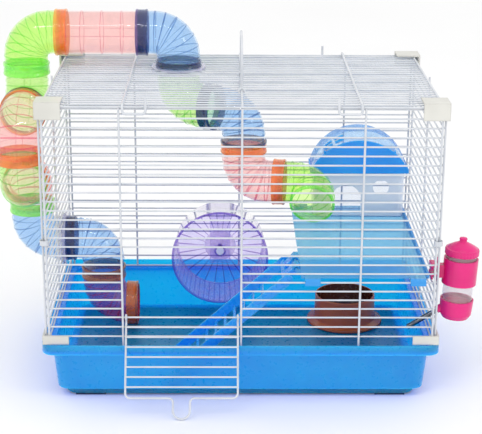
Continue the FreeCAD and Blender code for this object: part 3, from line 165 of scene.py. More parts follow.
@dataclass(frozen=True)
class MouldedPlastic(Finish):
    """Injection-moulded opaque plastic, such as polypropylene or ABS.

    The mould leaves an even sheen with a faint grain, soft edges that catch a light line,
    and slow changes of tone where the wall is thick or thin. A milky plastic lets light in
    to a depth, so that its shaded sides glow.
    """

    colour: str
    deep: str
    roughness: float = 0.3
    # The real grain is under 0.1 mm, and is drawn at about 1 mm so that it shows.
    grain_mm: float = 0.9
    grain_depth_mm: float = 0.02
    cloud_mm: float = 45.0
    edge_mm: float = 0.7
    milky: float = 0.0
    depth_mm: float = 8.0
    ior: float = 1.49
    handled: float = 9.0

    def surface(self, tree: bpy.types.NodeTree) -> bpy.types.Node:
        """Add clouds of tone, gloss that handling has worn, soft edges and a fine grain.

        Args:
            tree: the material's node tree.

        Returns:
            The shader node.
        """
        place = add(tree, "ShaderNodeTexCoord").outputs["Object"]
        clouds = add(tree, "ShaderNodeTexNoise",
                     {"Vector": place, "Scale": 1 / (self.cloud_mm * MM)})
        depth = add(tree, "ShaderNodeMapRange",
                    {"Value": clouds, "From Min": 0.35, "From Max": 0.65})
        tone = add(tree, "ShaderNodeMix",
                   {"Factor": depth, 6: linear(self.colour), 7: linear(self.deep)},
                   data_type="RGBA")
        marks = add(tree, "ShaderNodeTexNoise",
                    {"Vector": place, "Scale": 1 / (self.cloud_mm / self.handled * MM)})
        worn = add(tree, "ShaderNodeMapRange",
                   {"Value": marks, "From Min": 0.3, "From Max": 0.7,
                    "To Min": self.roughness * 0.85, "To Max": self.roughness * 1.2})
        edge = add(tree, "ShaderNodeBevel", {"Radius": self.edge_mm * MM}, samples=4)
        grain = add(tree, "ShaderNodeTexNoise",
                    {"Vector": place, "Scale": 1 / (self.grain_mm * MM)})
        bump = add(tree, "ShaderNodeBump",
                   {"Height": grain, "Distance": self.grain_depth_mm * MM, "Normal": edge})
        return add(tree, "ShaderNodeBsdfPrincipled",
                   {"Base Color": tone.outputs[2], "Roughness": worn, "IOR": self.ior,
                    "Normal": bump, "Subsurface Weight": self.milky,
                    "Subsurface Radius": (0.4, 0.75, 1.0),
                    "Subsurface Scale": self.depth_mm * MM})


@dataclass(frozen=True)
class TintedPlastic(Finish):
    """Transparent dyed polystyrene, moulded thin and polished by the mould.

    What lies behind shows through in the dye's colour, the surface mirrors the lamps in small
    sharp lights, and a little of the light stays in the wall, so that it never looks empty.
    """

    through: str
    body: str
    body_share: float = 0.07
    roughness: float = 0.05
    faces: int = 4
    flow_mm: float = 18.0
    flow_depth_mm: float = 0.12
    ior: float = 1.59

    def surface(self, tree: bpy.types.NodeTree) -> bpy.types.Node:
        """Add the clear dye, the light that stays in the wall and the polish in front.

        Args:
            tree: the material's node tree.

        Returns:
            The shader node.
        """
        place = add(tree, "ShaderNodeTexCoord").outputs["Object"]
        flow = add(tree, "ShaderNodeTexNoise",
                   {"Vector": place, "Scale": 1 / (self.flow_mm * MM), "Detail": 1.0})
        bump = add(tree, "ShaderNodeBump",
                   {"Height": flow, "Distance": self.flow_depth_mm * MM})
        clear = add(tree, "ShaderNodeBsdfTransparent",
                    {"Color": share_of(linear(self.through), self.faces)})
        wall = add(tree, "ShaderNodeBsdfPrincipled",
                   {"Base Color": linear(self.body), "Roughness": 0.5, "IOR": self.ior,
                    "Normal": bump})
        kept = add(tree, "ShaderNodeMapRange",
                   {"Value": flow, "From Min": 0.3, "From Max": 0.7,
                    "To Min": self.body_share * 0.7, "To Max": self.body_share * 1.3})
        inside = add(tree, "ShaderNodeMixShader", {0: kept, 1: clear, 2: wall})
        polish = add(tree, "ShaderNodeBsdfGlossy",
                     {"Color": (1, 1, 1, 1), "Roughness": self.roughness, "Normal": bump})
        mirror = add(tree, "ShaderNodeFresnel", {"IOR": self.ior, "Normal": bump})
        # Only the face towards the eye mirrors: the far face of a thin wall looks black if it
        # does too.
        side = add(tree, "ShaderNodeNewGeometry")
        shine = add(tree, "ShaderNodeMix",
                    {"Factor": side.outputs["Backfacing"], 2: mirror, 3: 0.0})
        return add(tree, "ShaderNodeMixShader", {0: shine, 1: inside, 2: polish})


@dataclass(frozen=True)
class PaintedEdgeGlowPlastic(Finish):
    """Transparent dyed plate whose edges are painted deeper: a painted glow where light gathers.
    """

    through: str
    body: str
    # edge is the painted glow: the deeper colour painted towards the plate's edges.
    edge: str
    middle: Vector
    half: Vector
    body_share: float = 0.42
    edge_glow_share: float = 0.85
    rim_mm: float = 5.0
    wave_mm: float = 40.0
    wave_depth_mm: float = 0.1
    ior: float = 1.59

    def surface(self, tree: bpy.types.NodeTree) -> bpy.types.Node:
        """Add the clear plate, with a painted glow of deeper colour towards its four edges.

        Args:
            tree: the material's node tree.

        Returns:
            The shader node.
        """
        place = add(tree, "ShaderNodeTexCoord").outputs["Object"]
        parted = add(tree, "ShaderNodeSeparateXYZ", {0: place})
        rims = []
        for axis in (0, 1):
            offset = add(tree, "ShaderNodeMath",
                         {0: parted.outputs[axis], 1: self.middle[axis]}, operation="SUBTRACT")
            away = add(tree, "ShaderNodeMath", {0: offset}, operation="ABSOLUTE")
            rims.append(add(tree, "ShaderNodeMapRange",
                            {"Value": away, "From Min": self.half[axis] - self.rim_mm * MM,
                             "From Max": self.half[axis] - 0.2 * self.rim_mm * MM}))
        # The painted glow's mask grows towards the plate's four edges.
        rim = add(tree, "ShaderNodeMath", {0: rims[0], 1: rims[1]}, operation="MAXIMUM")
        waves = add(tree, "ShaderNodeTexNoise",
                    {"Vector": place, "Scale": 1 / (self.wave_mm * MM), "Detail": 1.0})
        bump = add(tree, "ShaderNodeBump",
                   {"Height": waves, "Distance": self.wave_depth_mm * MM})
        colour = add(tree, "ShaderNodeMix",
                     {"Factor": rim, 6: linear(self.body), 7: linear(self.edge)},
                     data_type="RGBA")
        share = add(tree, "ShaderNodeMapRange",
                    {"Value": rim, "To Min": self.body_share, "To Max": self.edge_glow_share})
        clear = add(tree, "ShaderNodeBsdfTransparent",
                    {"Color": share_of(linear(self.through), 2)})
        wall = add(tree, "ShaderNodeBsdfPrincipled",
                   {"Base Color": colour.outputs[2], "Roughness": 0.22, "IOR": self.ior,
                    "Normal": bump})
        return add(tree, "ShaderNodeMixShader", {0: share, 1: clear, 2: wall})


@dataclass(frozen=True)
class FrostedWall(Finish):
    """Thin natural polypropylene with a satin front, which the mould's texture makes milky.

    The front hides what is behind it, and the sides behind it stay nearly clear.
    """

    through: str
    body: str
    front: float
    thick_mm: float
    front_share: float = 0.62
    back_share: float = 0.10
    # The real satin is about 0.1 mm, and is drawn at 6 mm so that it shows.
    satin_mm: float = 6.0
    satin_depth_mm: float = 0.02
    ior: float = 1.49

    def surface(self, tree: bpy.types.NodeTree) -> bpy.types.Node:
        """Add the milky front and the clearer walls behind it.

        Args:
            tree: the material's node tree.

        Returns:
            The shader node.
        """
        place = add(tree, "ShaderNodeTexCoord").outputs["Object"]
        parted = add(tree, "ShaderNodeSeparateXYZ", {0: place})
        share = add(tree, "ShaderNodeMapRange",
                    {"Value": parted.outputs[1], "From Min": self.front + self.thick_mm * MM,
                     "From Max": self.front + 2 * self.thick_mm * MM,
                     "To Min": self.front_share, "To Max": self.back_share})
        satin = add(tree, "ShaderNodeTexNoise",
                    {"Vector": place, "Scale": 1 / (self.satin_mm * MM), "Detail": 1.0})
        bump = add(tree, "ShaderNodeBump",
                   {"Height": satin, "Distance": self.satin_depth_mm * MM})
        clear = add(tree, "ShaderNodeBsdfTransparent",
                    {"Color": share_of(linear(self.through), 2)})
        wall = add(tree, "ShaderNodeBsdfPrincipled",
                   {"Base Color": linear(self.body), "Roughness": 0.35, "IOR": self.ior,
                    "Normal": bump})
        return add(tree, "ShaderNodeMixShader", {0: share, 1: clear, 2: wall})


@dataclass(frozen=True)
class PowderCoat(Finish):
    """Steel wire with a baked polyester powder coat: white, with a slight orange peel.

    The coat gives each wire one soft light line along it and rounds off its welds.
    """

    colour: str
    shade: str
    roughness: float = 0.34
    cloud_mm: float = 30.0
    peel_mm: float = 1.1
    peel_depth_mm: float = 0.04
    ior: float = 1.5

    def surface(self, tree: bpy.types.NodeTree) -> bpy.types.Node:
        """Add the white coat with slow changes of tone and its orange peel.

        Args:
            tree: the material's node tree.

        Returns:
            The shader node.
        """
        place = add(tree, "ShaderNodeTexCoord").outputs["Object"]
        clouds = add(tree, "ShaderNodeTexNoise",
                     {"Vector": place, "Scale": 1 / (self.cloud_mm * MM)})
        depth = add(tree, "ShaderNodeMapRange",
                    {"Value": clouds, "From Min": 0.4, "From Max": 0.6})
        tone = add(tree, "ShaderNodeMix",
                   {"Factor": depth, 6: linear(self.colour), 7: linear(self.shade)},
                   data_type="RGBA")
        peel = add(tree, "ShaderNodeTexNoise",
                   {"Vector": place, "Scale": 1 / (self.peel_mm * MM)})
        bump = add(tree, "ShaderNodeBump",
                   {"Height": peel, "Distance": self.peel_depth_mm * MM})
        return add(tree, "ShaderNodeBsdfPrincipled",
                   {"Base Color": tone.outputs[2], "Roughness": self.roughness,
                    "IOR": self.ior, "Coat Weight": 0.3, "Coat Roughness": 0.15,
                    "Normal": bump})


@dataclass(frozen=True)
class PolishedSteel(Finish):
    """Drawn and polished stainless steel: a bright mirror that is a little cloudy in spots."""

    colour: str
    roughness: float = 0.12
    mark_mm: float = 1.5

    def surface(self, tree: bpy.types.NodeTree) -> bpy.types.Node:
        """Add the metal, with gloss that changes from spot to spot.

        Args:
            tree: the material's node tree.

        Returns:
            The shader node.
        """
        place = add(tree, "ShaderNodeTexCoord").outputs["Object"]
        marks = add(tree, "ShaderNodeTexNoise",
                    {"Vector": place, "Scale": 1 / (self.mark_mm * MM)})
        gloss = add(tree, "ShaderNodeMapRange",
                    {"Value": marks, "From Min": 0.3, "From Max": 0.7,
                     "To Min": self.roughness * 0.7, "To Max": self.roughness * 1.6})
        return add(tree, "ShaderNodeBsdfPrincipled",
                   {"Base Color": linear(self.colour), "Metallic": 1.0, "Roughness": gloss})


class Tint(Enum):
    """The dyes of the tunnels: name, colour seen through a wall, colour of ribs and lips."""

    BLUE = ("blue", "#AED4FA", "#4076BC")
    PINK = ("pink", "#FFD2CE", "#F2627C")
    LIME = ("lime", "#D0FE84", "#70F038")
    GREEN = ("green", "#D2FA9C", "#6CDE3C")
    MAGENTA = ("magenta", "#F080B4", "#EC3C74")

    def wall(self) -> TintedPlastic:
        """Give the finish of the tunnel's thin wall, which is nearly clear."""
        word, through, _ = self.value
        return TintedPlastic(f"{word} polystyrene, clear moulded", through, through)

    def rib(self) -> TintedPlastic:
        """Give the finish of ribs and lips, whose thicker wall makes the dye look darker.

        Returns:
            The finish.
        """
        word, _, deep = self.value
        return TintedPlastic(f"{word} polystyrene, thick rib", deep, deep, body_share=0.3,
                             faces=3)


class Band(Enum):
    """The plastics of the coupling rings: name, colour seen through, colour of the body."""

    NAVY = ("navy", "#2A4A8C", "#1C3470")
    ORANGE = ("orange", "#FF9A40", "#FF8630")
    AMBER = ("amber", "#FFC04A", "#FFB23C")
    GREEN = ("green", "#B0FF7C", "#98FC60")
    BROWN = ("brown orange", "#D88048", "#C46C38")
    PLUM = ("plum", "#6B5AA8", "#54428C")
    BLACK = ("blue black", "#232C40", "#161C2C")

    def finish(self) -> TintedPlastic:
        """Give the finish of a ring, thick enough to look solid but lit from within.

        Returns:
            The finish.
        """
        word, through, body = self.value
        return TintedPlastic(f"{word} polystyrene, moulded ring", through, body,
                             body_share=0.4, roughness=0.08, faces=3)


class Wardrobe:
    """Builds each finish once and hands out its material."""

    def __init__(self) -> None:
        """Start with nothing built."""
        self.built: dict[str, bpy.types.Material] = {}

    def get(self, finish: Finish) -> bpy.types.Material:
        """Give a finish's material.

        Args:
            finish: the finish.

        Returns:
            The material, built at the first call.
        """
        if finish.name not in self.built:
            self.built[finish.name] = finish.build()
        return self.built[finish.name]


wardrobe = Wardrobe()


# ------------------------------------------------------------------------ mesh tools
@dataclass
class Shape:
    """A mesh that is gathered ring by ring."""

    verts: list[Vector] = field(default_factory=list)
    faces: list[tuple[int, ...]] = field(default_factory=list)
    looks: list[int] = field(default_factory=list)

    def face(self, corners: Sequence[int], look: int = 0) -> None:
        """Add one face.

        Args:
            corners: the indices of its vertices, in order.
            look: the index of its material.
        """
        self.faces.append(tuple(corners))
        self.looks.append(look)

    def loops(
        self,
        rings: Sequence[Sequence[Vector]],
        closed: bool = False,
        look: Callable[[int, int], int] = lambda ring, step: 0,
    ) -> None:
        """Skin a row of rings that have as many points each.

        Args:
            rings: the rings, each a closed loop of points.
            closed: join the last ring to the first.
            look: gives the material of the face after a ring and a step round it.
        """
        start = len(self.verts)
        count = len(rings[0])
        for ring in rings:
            self.verts.extend(ring)
        last = len(rings) if closed else len(rings) - 1
        for r in range(last):
            a = start + r * count
            b = start + (r + 1) % len(rings) * count
            for s in range(count):
                n = (s + 1) % count
                self.face((a + s, a + n, b + n, b + s), look(r, s))
        if not closed:
            self.face([start + s for s in reversed(range(count))])
            self.face([start + (len(rings) - 1) * count + s for s in range(count)])

    def turned(
        self,
        profile: Sequence[tuple[float, float]],
        steps: int,
        closed: bool = False,
        look: Callable[[int, int], int] = lambda ring, step: 0,
        place: Matrix = Matrix.Identity(4),
    ) -> None:
        """Turn a profile round the Z axis.

        Args:
            profile: radius and height of each point, in millimetres.
            steps: how many faces go round.
            closed: join the profile's last point to its first.
            look: gives the material of the face after a ring and a step round it.
            place: moves the turned shape into the frame.
        """
        rings = []
        for radius, height in profile:
            ring = []
            for s in range(steps):
                angle = 2 * math.pi * s / steps
                point = Vector((radius * math.cos(angle), radius * math.sin(angle), height))
                ring.append(place @ (point * MM))
            rings.append(ring)
        self.loops(rings, closed, look)

    def piece(
        self, name: str, finishes: Sequence[Finish], sharp_deg: float = 40.0
    ) -> bpy.types.Object:
        """Turn what was gathered into an object.

        Args:
            name: the object's name.
            finishes: its finishes, in the order of the faces' looks.
            sharp_deg: edges that turn by more than this stay sharp.

        Returns:
            The object, linked into the scene.
        """
        mesh = bpy.data.meshes.new(name)
        mesh.from_pydata([tuple(v) for v in self.verts], [], self.faces)
        for polygon, look in zip(mesh.polygons, self.looks):
            polygon.material_index = look
        tidy = bmesh.new()
        tidy.from_mesh(mesh)
        bmesh.ops.remove_doubles(tidy, verts=tidy.verts, dist=0.001 * MM)
        bmesh.ops.recalc_face_normals(tidy, faces=tidy.faces)
        tidy.to_mesh(mesh)
        tidy.free()
        mesh.shade_smooth()
        mesh.set_sharp_from_angle(angle=math.radians(sharp_deg))
        for finish in finishes:
            mesh.materials.append(wardrobe.get(finish))
        item = bpy.data.objects.new(name, mesh)
        bpy.context.scene.collection.objects.link(item)
        return item


def axes_along(along: Vector, side: Vector) -> Matrix:
    """Make the rotation whose Z points along one direction and X to one side.

    Args:
        along: the direction of the local Z axis.
        side: the direction of the local X axis, square to along.

    Returns:
        A 4 by 4 rotation.
    """
    z = along.normalized()
    x = (side - z * side.dot(z)).normalized()
    y = z.cross(x)
    return Matrix((x, y, z)).transposed().to_4x4()


def body_of(node: str) -> str:
    """Name the body that a node of the frame rides on."""
    bodies = frame["record"]["behaviour"]["bodies"]
    return next(body for body, nodes in bodies.items() if node in nodes)


def stand_for(piece: bpy.types.Object, node: str) -> None:
    """Let a piece take the place of a node and ride on the node's body.

    Args:
        piece: the new piece, in place in the frame.
        node: the node that it stands for.
    """
    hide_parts(node)
    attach(piece, body_of(node))
    log.info("%s stands for %s on body %s", piece.name, node, body_of(node))


def dress(nodes: Iterable[str], finish: Finish) -> None:
    """Give nodes of the frame a finish.

    Args:
        nodes: the nodes' names.
        finish: their finish.
    """
    material = wardrobe.get(finish)
    for node in nodes:
        item = frame["nodes"][node]
        for place in item.material_slots:
            place.material = material
        log.info("%s wears %s", node, finish.name)


# ---------------------------------------------------------------------- sub-assemblies
@dataclass
class Wirework:
    """The five grilles, the door, the handle and the clips, all of coated wire."""

    nodes: tuple[str, ...] = (
        "front_panel", "back_panel", "left_panel", "right_panel", "top_panel",
        "top_clip_wires", "front_door", "carry_handle", "post_clips",
    )
    # The coat makes the wires a soft grey-white, with no metal to be seen.
    finish: PowderCoat = PowderCoat("steel wire, white powder coated", "#D4D7DC", "#CACED4")

    def build(self) -> None:
        """Dress the wires."""
        dress(self.nodes, self.finish)


@dataclass
class Tray:
    """The sky-blue base with its pads."""

    # Light passes from wall to wall in the milky plastic, so the inside glows like the front.
    finish: MouldedPlastic = MouldedPlastic(
        "sky blue polypropylene, gloss moulded", "#0A8CFF", "#0886FA", grain_mm=2.5,
        grain_depth_mm=0.0, edge_mm=0.4, milky=1.0, depth_mm=26.0)
    # Dull rubbery pads read as a dark line under the tray.
    pads: MouldedPlastic = MouldedPlastic(
        "navy elastomer, moulded pads", "#1F3A5C", "#182E4A", roughness=0.6)

    def build(self) -> None:
        """Dress the tray."""
        dress(["tray"], self.finish)
        dress(["tray_feet"], self.pads)


@dataclass
class Corners:
    """Caps on the top corners and boots on the tray's rim."""

    # The satin mould leaves broad dull lights on the big rounded edges.
    finish: MouldedPlastic = MouldedPlastic(
        "off-white polypropylene, satin moulded", "#DAD9D2", "#D0CFC8", roughness=0.42,
        edge_mm=2.0)

    def build(self) -> None:
        """Dress the corner pieces."""
        dress(["top_corner_caps", "base_corner_boots"], self.finish)


@dataclass
class TubeStation:
    """A place along a tunnel's middle line.

    Its section stands at centre, with outer towards the outside of the bend. It is on a rib
    or a lip when rib is set, and stands proud of the wall by lift.
    """

    centre: Vector
    outer: Vector
    rib: bool = False
    lift: float = 0.0


@dataclass
class TunnelRun:
    """The tunnels, their coupling rings and the collars in the grilles."""

    radius: float = 26.5 * MM
    wall: float = 1.5 * MM
    bend: float = 30.0 * MM
    leg: float = 14.5 * MM
    gap: float = 1.0 * MM
    straight: float = 99.0 * MM
    rib_count: int = 7
    rib_half_deg: float = 1.1
    rib_lift: float = 0.5 * MM
    seam_half_deg: float = 1.3
    seam_lift: float = 0.4 * MM
    straight_ribs: int = 3
    lip: float = 2.4 * MM
    bead: float = 4.6 * MM
    bead_lift: float = 1.4 * MM
    mouth_node: str = "tunnel_14_green_elbow"
    inner_turn_deg: float = 25.0
    lower_turn_deg: float = 8.0
    mouth_tilt_deg: float = 20.0
    steps: int = 56
    headings: dict[str, Vector] = field(default_factory=dict)

    def angles(self) -> list[tuple[float, float]]:
        """Give the angles round a tunnel, with the lift of its two moulding seams.

        Returns:
            Each angle in degrees with the height of the seam there, in order.
        """
        around = [(360 * s / self.steps, 0.0) for s in range(self.steps)]
        half = self.seam_half_deg
        kept = [(a, lift) for a, lift in around
                if min(abs(a - seam) for seam in (0, 180, 360)) > half + 0.5]
        for seam in (0, 180):
            for offset, lift in ((-half, 0.0), (-half / 2, self.seam_lift),
                                 (half / 2, self.seam_lift), (half, 0.0)):
                kept.append(((seam + offset) % 360, lift))
        return sorted(kept)

    def elbow_stations(self, mouth: bool = False) -> list[TubeStation]:
        """List the stations of an elbow that starts along Z and bends towards X.

        Args:
            mouth: end it in a thick bead, as the open end of a run has.

        Returns:
            The stations in order.
        """
        stations = []
        for height in (0.0, self.lip, self.leg / 2):
            stations.append(TubeStation(Vector((0, 0, height)), LEFT, height < self.lip))
        half = math.radians(self.rib_half_deg)
        step = math.radians(90) / (self.rib_count - 1)
        hub = Vector((self.bend, 0, self.leg))
        for rib in range(self.rib_count):
            middle = min(max(rib * step, half), math.radians(90) - half)
            marks = [(middle - half, 0.0), (middle - half * 0.6, self.rib_lift),
                     (middle + half * 0.6, self.rib_lift), (middle + half, 0.0)]
            if rib < self.rib_count - 1:
                marks += [(middle + step * share, 0.0) for share in (1 / 3, 2 / 3)]
            for angle, lift in marks:
                outer = Vector((-math.cos(angle), 0, math.sin(angle)))
                inside = abs(angle - middle) < half
                stations.append(TubeStation(hub + outer * self.bend, outer, inside, lift))
        ends = [(self.leg / 2, 0.0), (self.leg - self.lip, 0.0), (self.leg, 0.0)]
        if mouth:
            ends = [(self.leg / 2, 0.0), (self.leg - self.bead, 0.0),
                    (self.leg - 0.85 * self.bead, 0.75 * self.bead_lift),
                    (self.leg - 0.6 * self.bead, self.bead_lift),
                    (self.leg - 0.25 * self.bead, self.bead_lift),
                    (self.leg - 0.08 * self.bead, 0.6 * self.bead_lift), (self.leg, 0.0)]
        lip_from = ends[1][0]
        for reach, lift in ends:
            centre = Vector((self.bend + reach, 0, self.leg + self.bend))
            stations.append(TubeStation(centre, UP, reach >= lip_from, lift))
        return stations

    def straight_stations(self) -> list[TubeStation]:
        """List the stations of the straight tunnel, which starts along Z.

        Returns:
            The stations in order.
        """
        stations = [TubeStation(Vector((0, 0, 0)), LEFT, True),
                    TubeStation(Vector((0, 0, self.lip)), LEFT)]
        width = self.bend * math.radians(2 * self.rib_half_deg)
        for rib in range(1, self.straight_ribs + 1):
            middle = self.straight * rib / (self.straight_ribs + 1)
            for offset, lift in ((-0.6, 0.0), (-0.35, self.rib_lift), (0.35, self.rib_lift),
                                 (0.6, 0.0)):
                stations.append(TubeStation(Vector((0, 0, middle + offset * width)), LEFT,
                                            abs(offset) < 0.6, lift))
        stations.append(TubeStation(Vector((0, 0, self.straight - self.lip)), LEFT, True))
        stations.append(TubeStation(Vector((0, 0, self.straight)), LEFT))
        return stations

    def shell(self, stations: Sequence[TubeStation], place: Matrix) -> Shape:
        """Skin a tunnel's wall with its ribs and seams.

        Args:
            stations: the places along its middle line.
            place: moves it into the frame.

        Returns:
            The closed wall.
        """
        around = self.angles()

        def ring(station: TubeStation, radius: float, proud: bool) -> list[Vector]:
            """Lay the points of one section.

            Args:
                station: where the section stands.
                radius: the section's radius.
                proud: whether ribs and seams stand out from it.

            Returns:
                The points, in the frame.
            """
            points = []
            for angle, seam in around:
                turn = math.radians(angle)
                lift = max(station.lift, seam) if proud else 0.0
                reach = radius + lift
                points.append(place @ (station.centre + station.outer * reach * math.cos(turn)
                                       + FAR * reach * math.sin(turn)))
            return points

        ends = (stations[0], stations[-1])
        outside = [ring(s, self.radius, s not in ends) for s in stations]
        smooth = [s for s in stations if not s.lift]
        inside = [ring(s, self.radius - self.wall, False) for s in reversed(smooth)]
        marked = [s.rib for s in stations]
        seams = [seam > 0 for _, seam in around]
        count = len(stations)

        def look(row: int, step: int) -> int:
            """Choose the wall's finish or the thick ribs' finish.

            Args:
                row: the section that the face starts from.
                step: the face's place round it.

            Returns:
                0 for the wall, or 1 for ribs, seams and both ends.
            """
            if row >= count - 1:
                return 1 if row == count - 1 or row == len(outside) + len(inside) - 1 else 0
            rib = marked[row] and marked[row + 1] or row == 0 or row == count - 2
            seam = seams[step] and seams[(step + 1) % len(seams)]
            return 1 if rib or seam else 0

        shape = Shape()
        shape.loops(outside + inside, closed=True, look=look)
        return shape

    def tunnel(self, node: str, tint: Tint, start: Vector, inward: Vector,
               outward: Vector | None) -> Vector:
        """Make one tunnel and stand it in for its node.

        Args:
            node: the node that it stands for.
            tint: the dye of its plastic.
            start: the middle of its first end.
            inward: the direction that it sets out in.
            outward: the direction that it ends in, or None for a straight tunnel.

        Returns:
            The middle of its last end.
        """
        side = outward if outward is not None else NEAR
        place = Matrix.Translation(start) @ axes_along(inward, side)
        if outward is None:
            stations = self.straight_stations()
            end = start + inward * self.straight
        else:
            stations = self.elbow_stations(mouth=node == self.mouth_node)
            end = start + (inward + outward) * (self.leg + self.bend)
        shape = self.shell(stations, place)
        stand_for(shape.piece(f"{node}_shell", [tint.wall(), tint.rib()], 30.0), node)
        return end

    def build(self) -> None:
        """Walk along both runs and make every tunnel."""
        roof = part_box("ring_00_navy")
        z_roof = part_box("tunnel_11_green_elbow")[1].z + self.gap / 2
        top = Vector(((roof[0].x + roof[1].x) / 2, (roof[0].y + roof[1].y) / 2, z_roof))
        spot = self.tunnel("tunnel_01_blue_elbow", Tint.BLUE, top + UP * self.gap / 2, UP, LEFT)
        self.headings["ring_01_navy"] = LEFT
        spot = self.tunnel("tunnel_02_pink_straight", Tint.PINK, spot + LEFT * self.gap, LEFT,
                           None)
        self.headings["ring_02_orange"] = LEFT
        outside = (
            ("tunnel_03_lime_elbow", Tint.LIME, LEFT, DOWN, "ring_03_green"),
            ("tunnel_04_green_elbow", Tint.GREEN, DOWN, NEAR, "ring_04_orange"),
            ("tunnel_05_pink_elbow", Tint.PINK, NEAR, DOWN, "ring_05_orange"),
            ("tunnel_06_green_elbow", Tint.GREEN, DOWN, FAR, "ring_06_orange"),
            ("tunnel_07_pink_elbow", Tint.PINK, FAR, DOWN, "ring_07_green"),
            ("tunnel_08_blue_elbow", Tint.BLUE, DOWN, RIGHT, "ring_08_navy"),
            ("tunnel_09_blue_elbow", Tint.BLUE, RIGHT, DOWN, "ring_09_brown"),
            ("tunnel_10_magenta_elbow", Tint.MAGENTA, DOWN, RIGHT, "ring_10_orange"),
        )
        for node, tint, inward, outward, ring in outside:
            spot = self.tunnel(node, tint, spot + inward * self.gap, inward, outward)
            self.headings[ring] = outward
        turned = Matrix.Rotation(-math.radians(self.inner_turn_deg), 3, "Z") @ RIGHT
        lower = Matrix.Rotation(-math.radians(self.lower_turn_deg), 3, "Z") @ RIGHT
        sideways = Matrix.Rotation(-math.radians(90), 3, "Z") @ lower
        tilt = math.radians(self.mouth_tilt_deg)
        mouth = sideways * math.cos(tilt) + DOWN * math.sin(tilt)
        spot = self.tunnel("tunnel_11_green_elbow", Tint.GREEN, top + DOWN * self.gap / 2, DOWN,
                           turned)
        self.headings["ring_11_navy"] = turned
        spot = self.tunnel("tunnel_12_blue_elbow", Tint.BLUE, spot + turned * self.gap, turned,
                           DOWN)
        self.headings["ring_12_orange"] = DOWN
        spot = self.tunnel("tunnel_13_pink_elbow", Tint.PINK, spot + DOWN * self.gap, DOWN,
                           lower)
        self.headings["ring_13_orange"] = lower
        self.tunnel(self.mouth_node, Tint.LIME, spot + lower * self.gap, lower, mouth)
        self.headings["ring_00_navy"] = UP


@dataclass(frozen=True)
class RingLook:
    """The plastic of a coupling ring and of the stripe at its first or last edge."""

    main: Band
    stripe: Band | None = None
    stripe_last: bool = False


@dataclass
class CouplingRings:
    """The rings that couple the tunnels: a band with a bead along each edge."""

    run: TunnelRun
    inner_mm: float = 26.8
    outer_mm: float = 29.0
    bead_mm: float = 3.2
    groove_mm: float = 0.5
    width_mm: float = 15.0
    steps: int = 72
    looks: dict[str, RingLook] = field(default_factory=lambda: {
        "ring_00_navy": RingLook(Band.NAVY),
        "ring_01_navy": RingLook(Band.NAVY, Band.PLUM, True),
        "ring_02_orange": RingLook(Band.ORANGE, Band.AMBER, True),
        "ring_03_green": RingLook(Band.GREEN),
        "ring_04_orange": RingLook(Band.ORANGE, Band.BLACK),
        "ring_05_orange": RingLook(Band.ORANGE),
        "ring_06_orange": RingLook(Band.ORANGE),
        "ring_07_green": RingLook(Band.GREEN),
        "ring_08_navy": RingLook(Band.NAVY),
        "ring_09_brown": RingLook(Band.BROWN),
        "ring_10_orange": RingLook(Band.ORANGE, Band.BROWN, True),
        "ring_11_navy": RingLook(Band.NAVY),
        "ring_12_orange": RingLook(Band.ORANGE, Band.NAVY, False),
        "ring_13_orange": RingLook(Band.ORANGE),
    })

    def profile(self, width: float) -> list[tuple[float, float]]:
        """Outline a ring's section.

        Args:
            width: the ring's length along its axis, in millimetres.

        Returns:
            Radius and height of each point, from one end round to the other.
        """
        out, low = self.outer_mm, self.outer_mm - self.groove_mm
        bead = min(self.bead_mm, width / 4)
        half = width / 2
        rise = [(self.inner_mm, -half), (out - 0.7, -half), (out - 0.2, -half + 0.25),
                (out, -half + 0.8), (out, -half + bead - 0.6), (low, -half + bead)]
        fall = [(radius, -height) for radius, height in reversed(rise)]
        return rise + fall

    def ring(self, node: str) -> None:
        """Make one ring and stand it in for its node.

        Args:
            node: the node that it stands for.
        """
        low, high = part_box(node)
        heading = self.run.headings[node]
        middle = (low + high) / 2
        square = max(abs(part) for part in heading) > 0.999
        width = min(self.width_mm, min(high - low) / MM) if square else self.width_mm
        looks = self.looks[node]
        profile = self.profile(width)
        side = UP if abs(heading.z) < 0.5 else RIGHT
        place = Matrix.Translation(middle) @ axes_along(heading, side)
        last = len(profile) // 2

        def look(row: int, step: int) -> int:
            """Choose the ring's finish or its stripe's.

            Args:
                row: the point of the section that the face starts from.
                step: the face's place round the ring.

            Returns:
                0 for the ring, or 1 for the stripe.
            """
            striped = row >= last if looks.stripe_last else row < last - 1
            return 1 if looks.stripe is not None and striped else 0

        shape = Shape()
        shape.turned(profile, self.steps, closed=True, look=look, place=place)
        finishes = [looks.main.finish()]
        if looks.stripe is not None:
            finishes.append(looks.stripe.finish())
        stand_for(shape.piece(f"{node}_band", finishes), node)

    def build(self) -> None:
        """Make every ring."""
        for node in self.looks:
            self.ring(node)


@dataclass
class Collars:
    """The flanged collars in the roof and in the left grille."""

    # Almost colourless plastic with a lavender cast: the roof's wires show through it.
    finish: TintedPlastic = TintedPlastic(
        "lavender polystyrene, clear moulded", "#DEDDF0", "#E4E2F4", body_share=0.45, faces=2)

    def build(self) -> None:
        """Dress the collars."""
        dress(["top_tunnel_collar", "side_tunnel_collar"], self.finish)


class Zone(Enum):
    """The parts of the drum's section."""

    RIM = "rim"
    WALL = "wall"
    BAR = "bar"
    SPOKE = "spoke"
    PLAIN = "plain"
    FLARE = "flare"
    HUB = "hub"


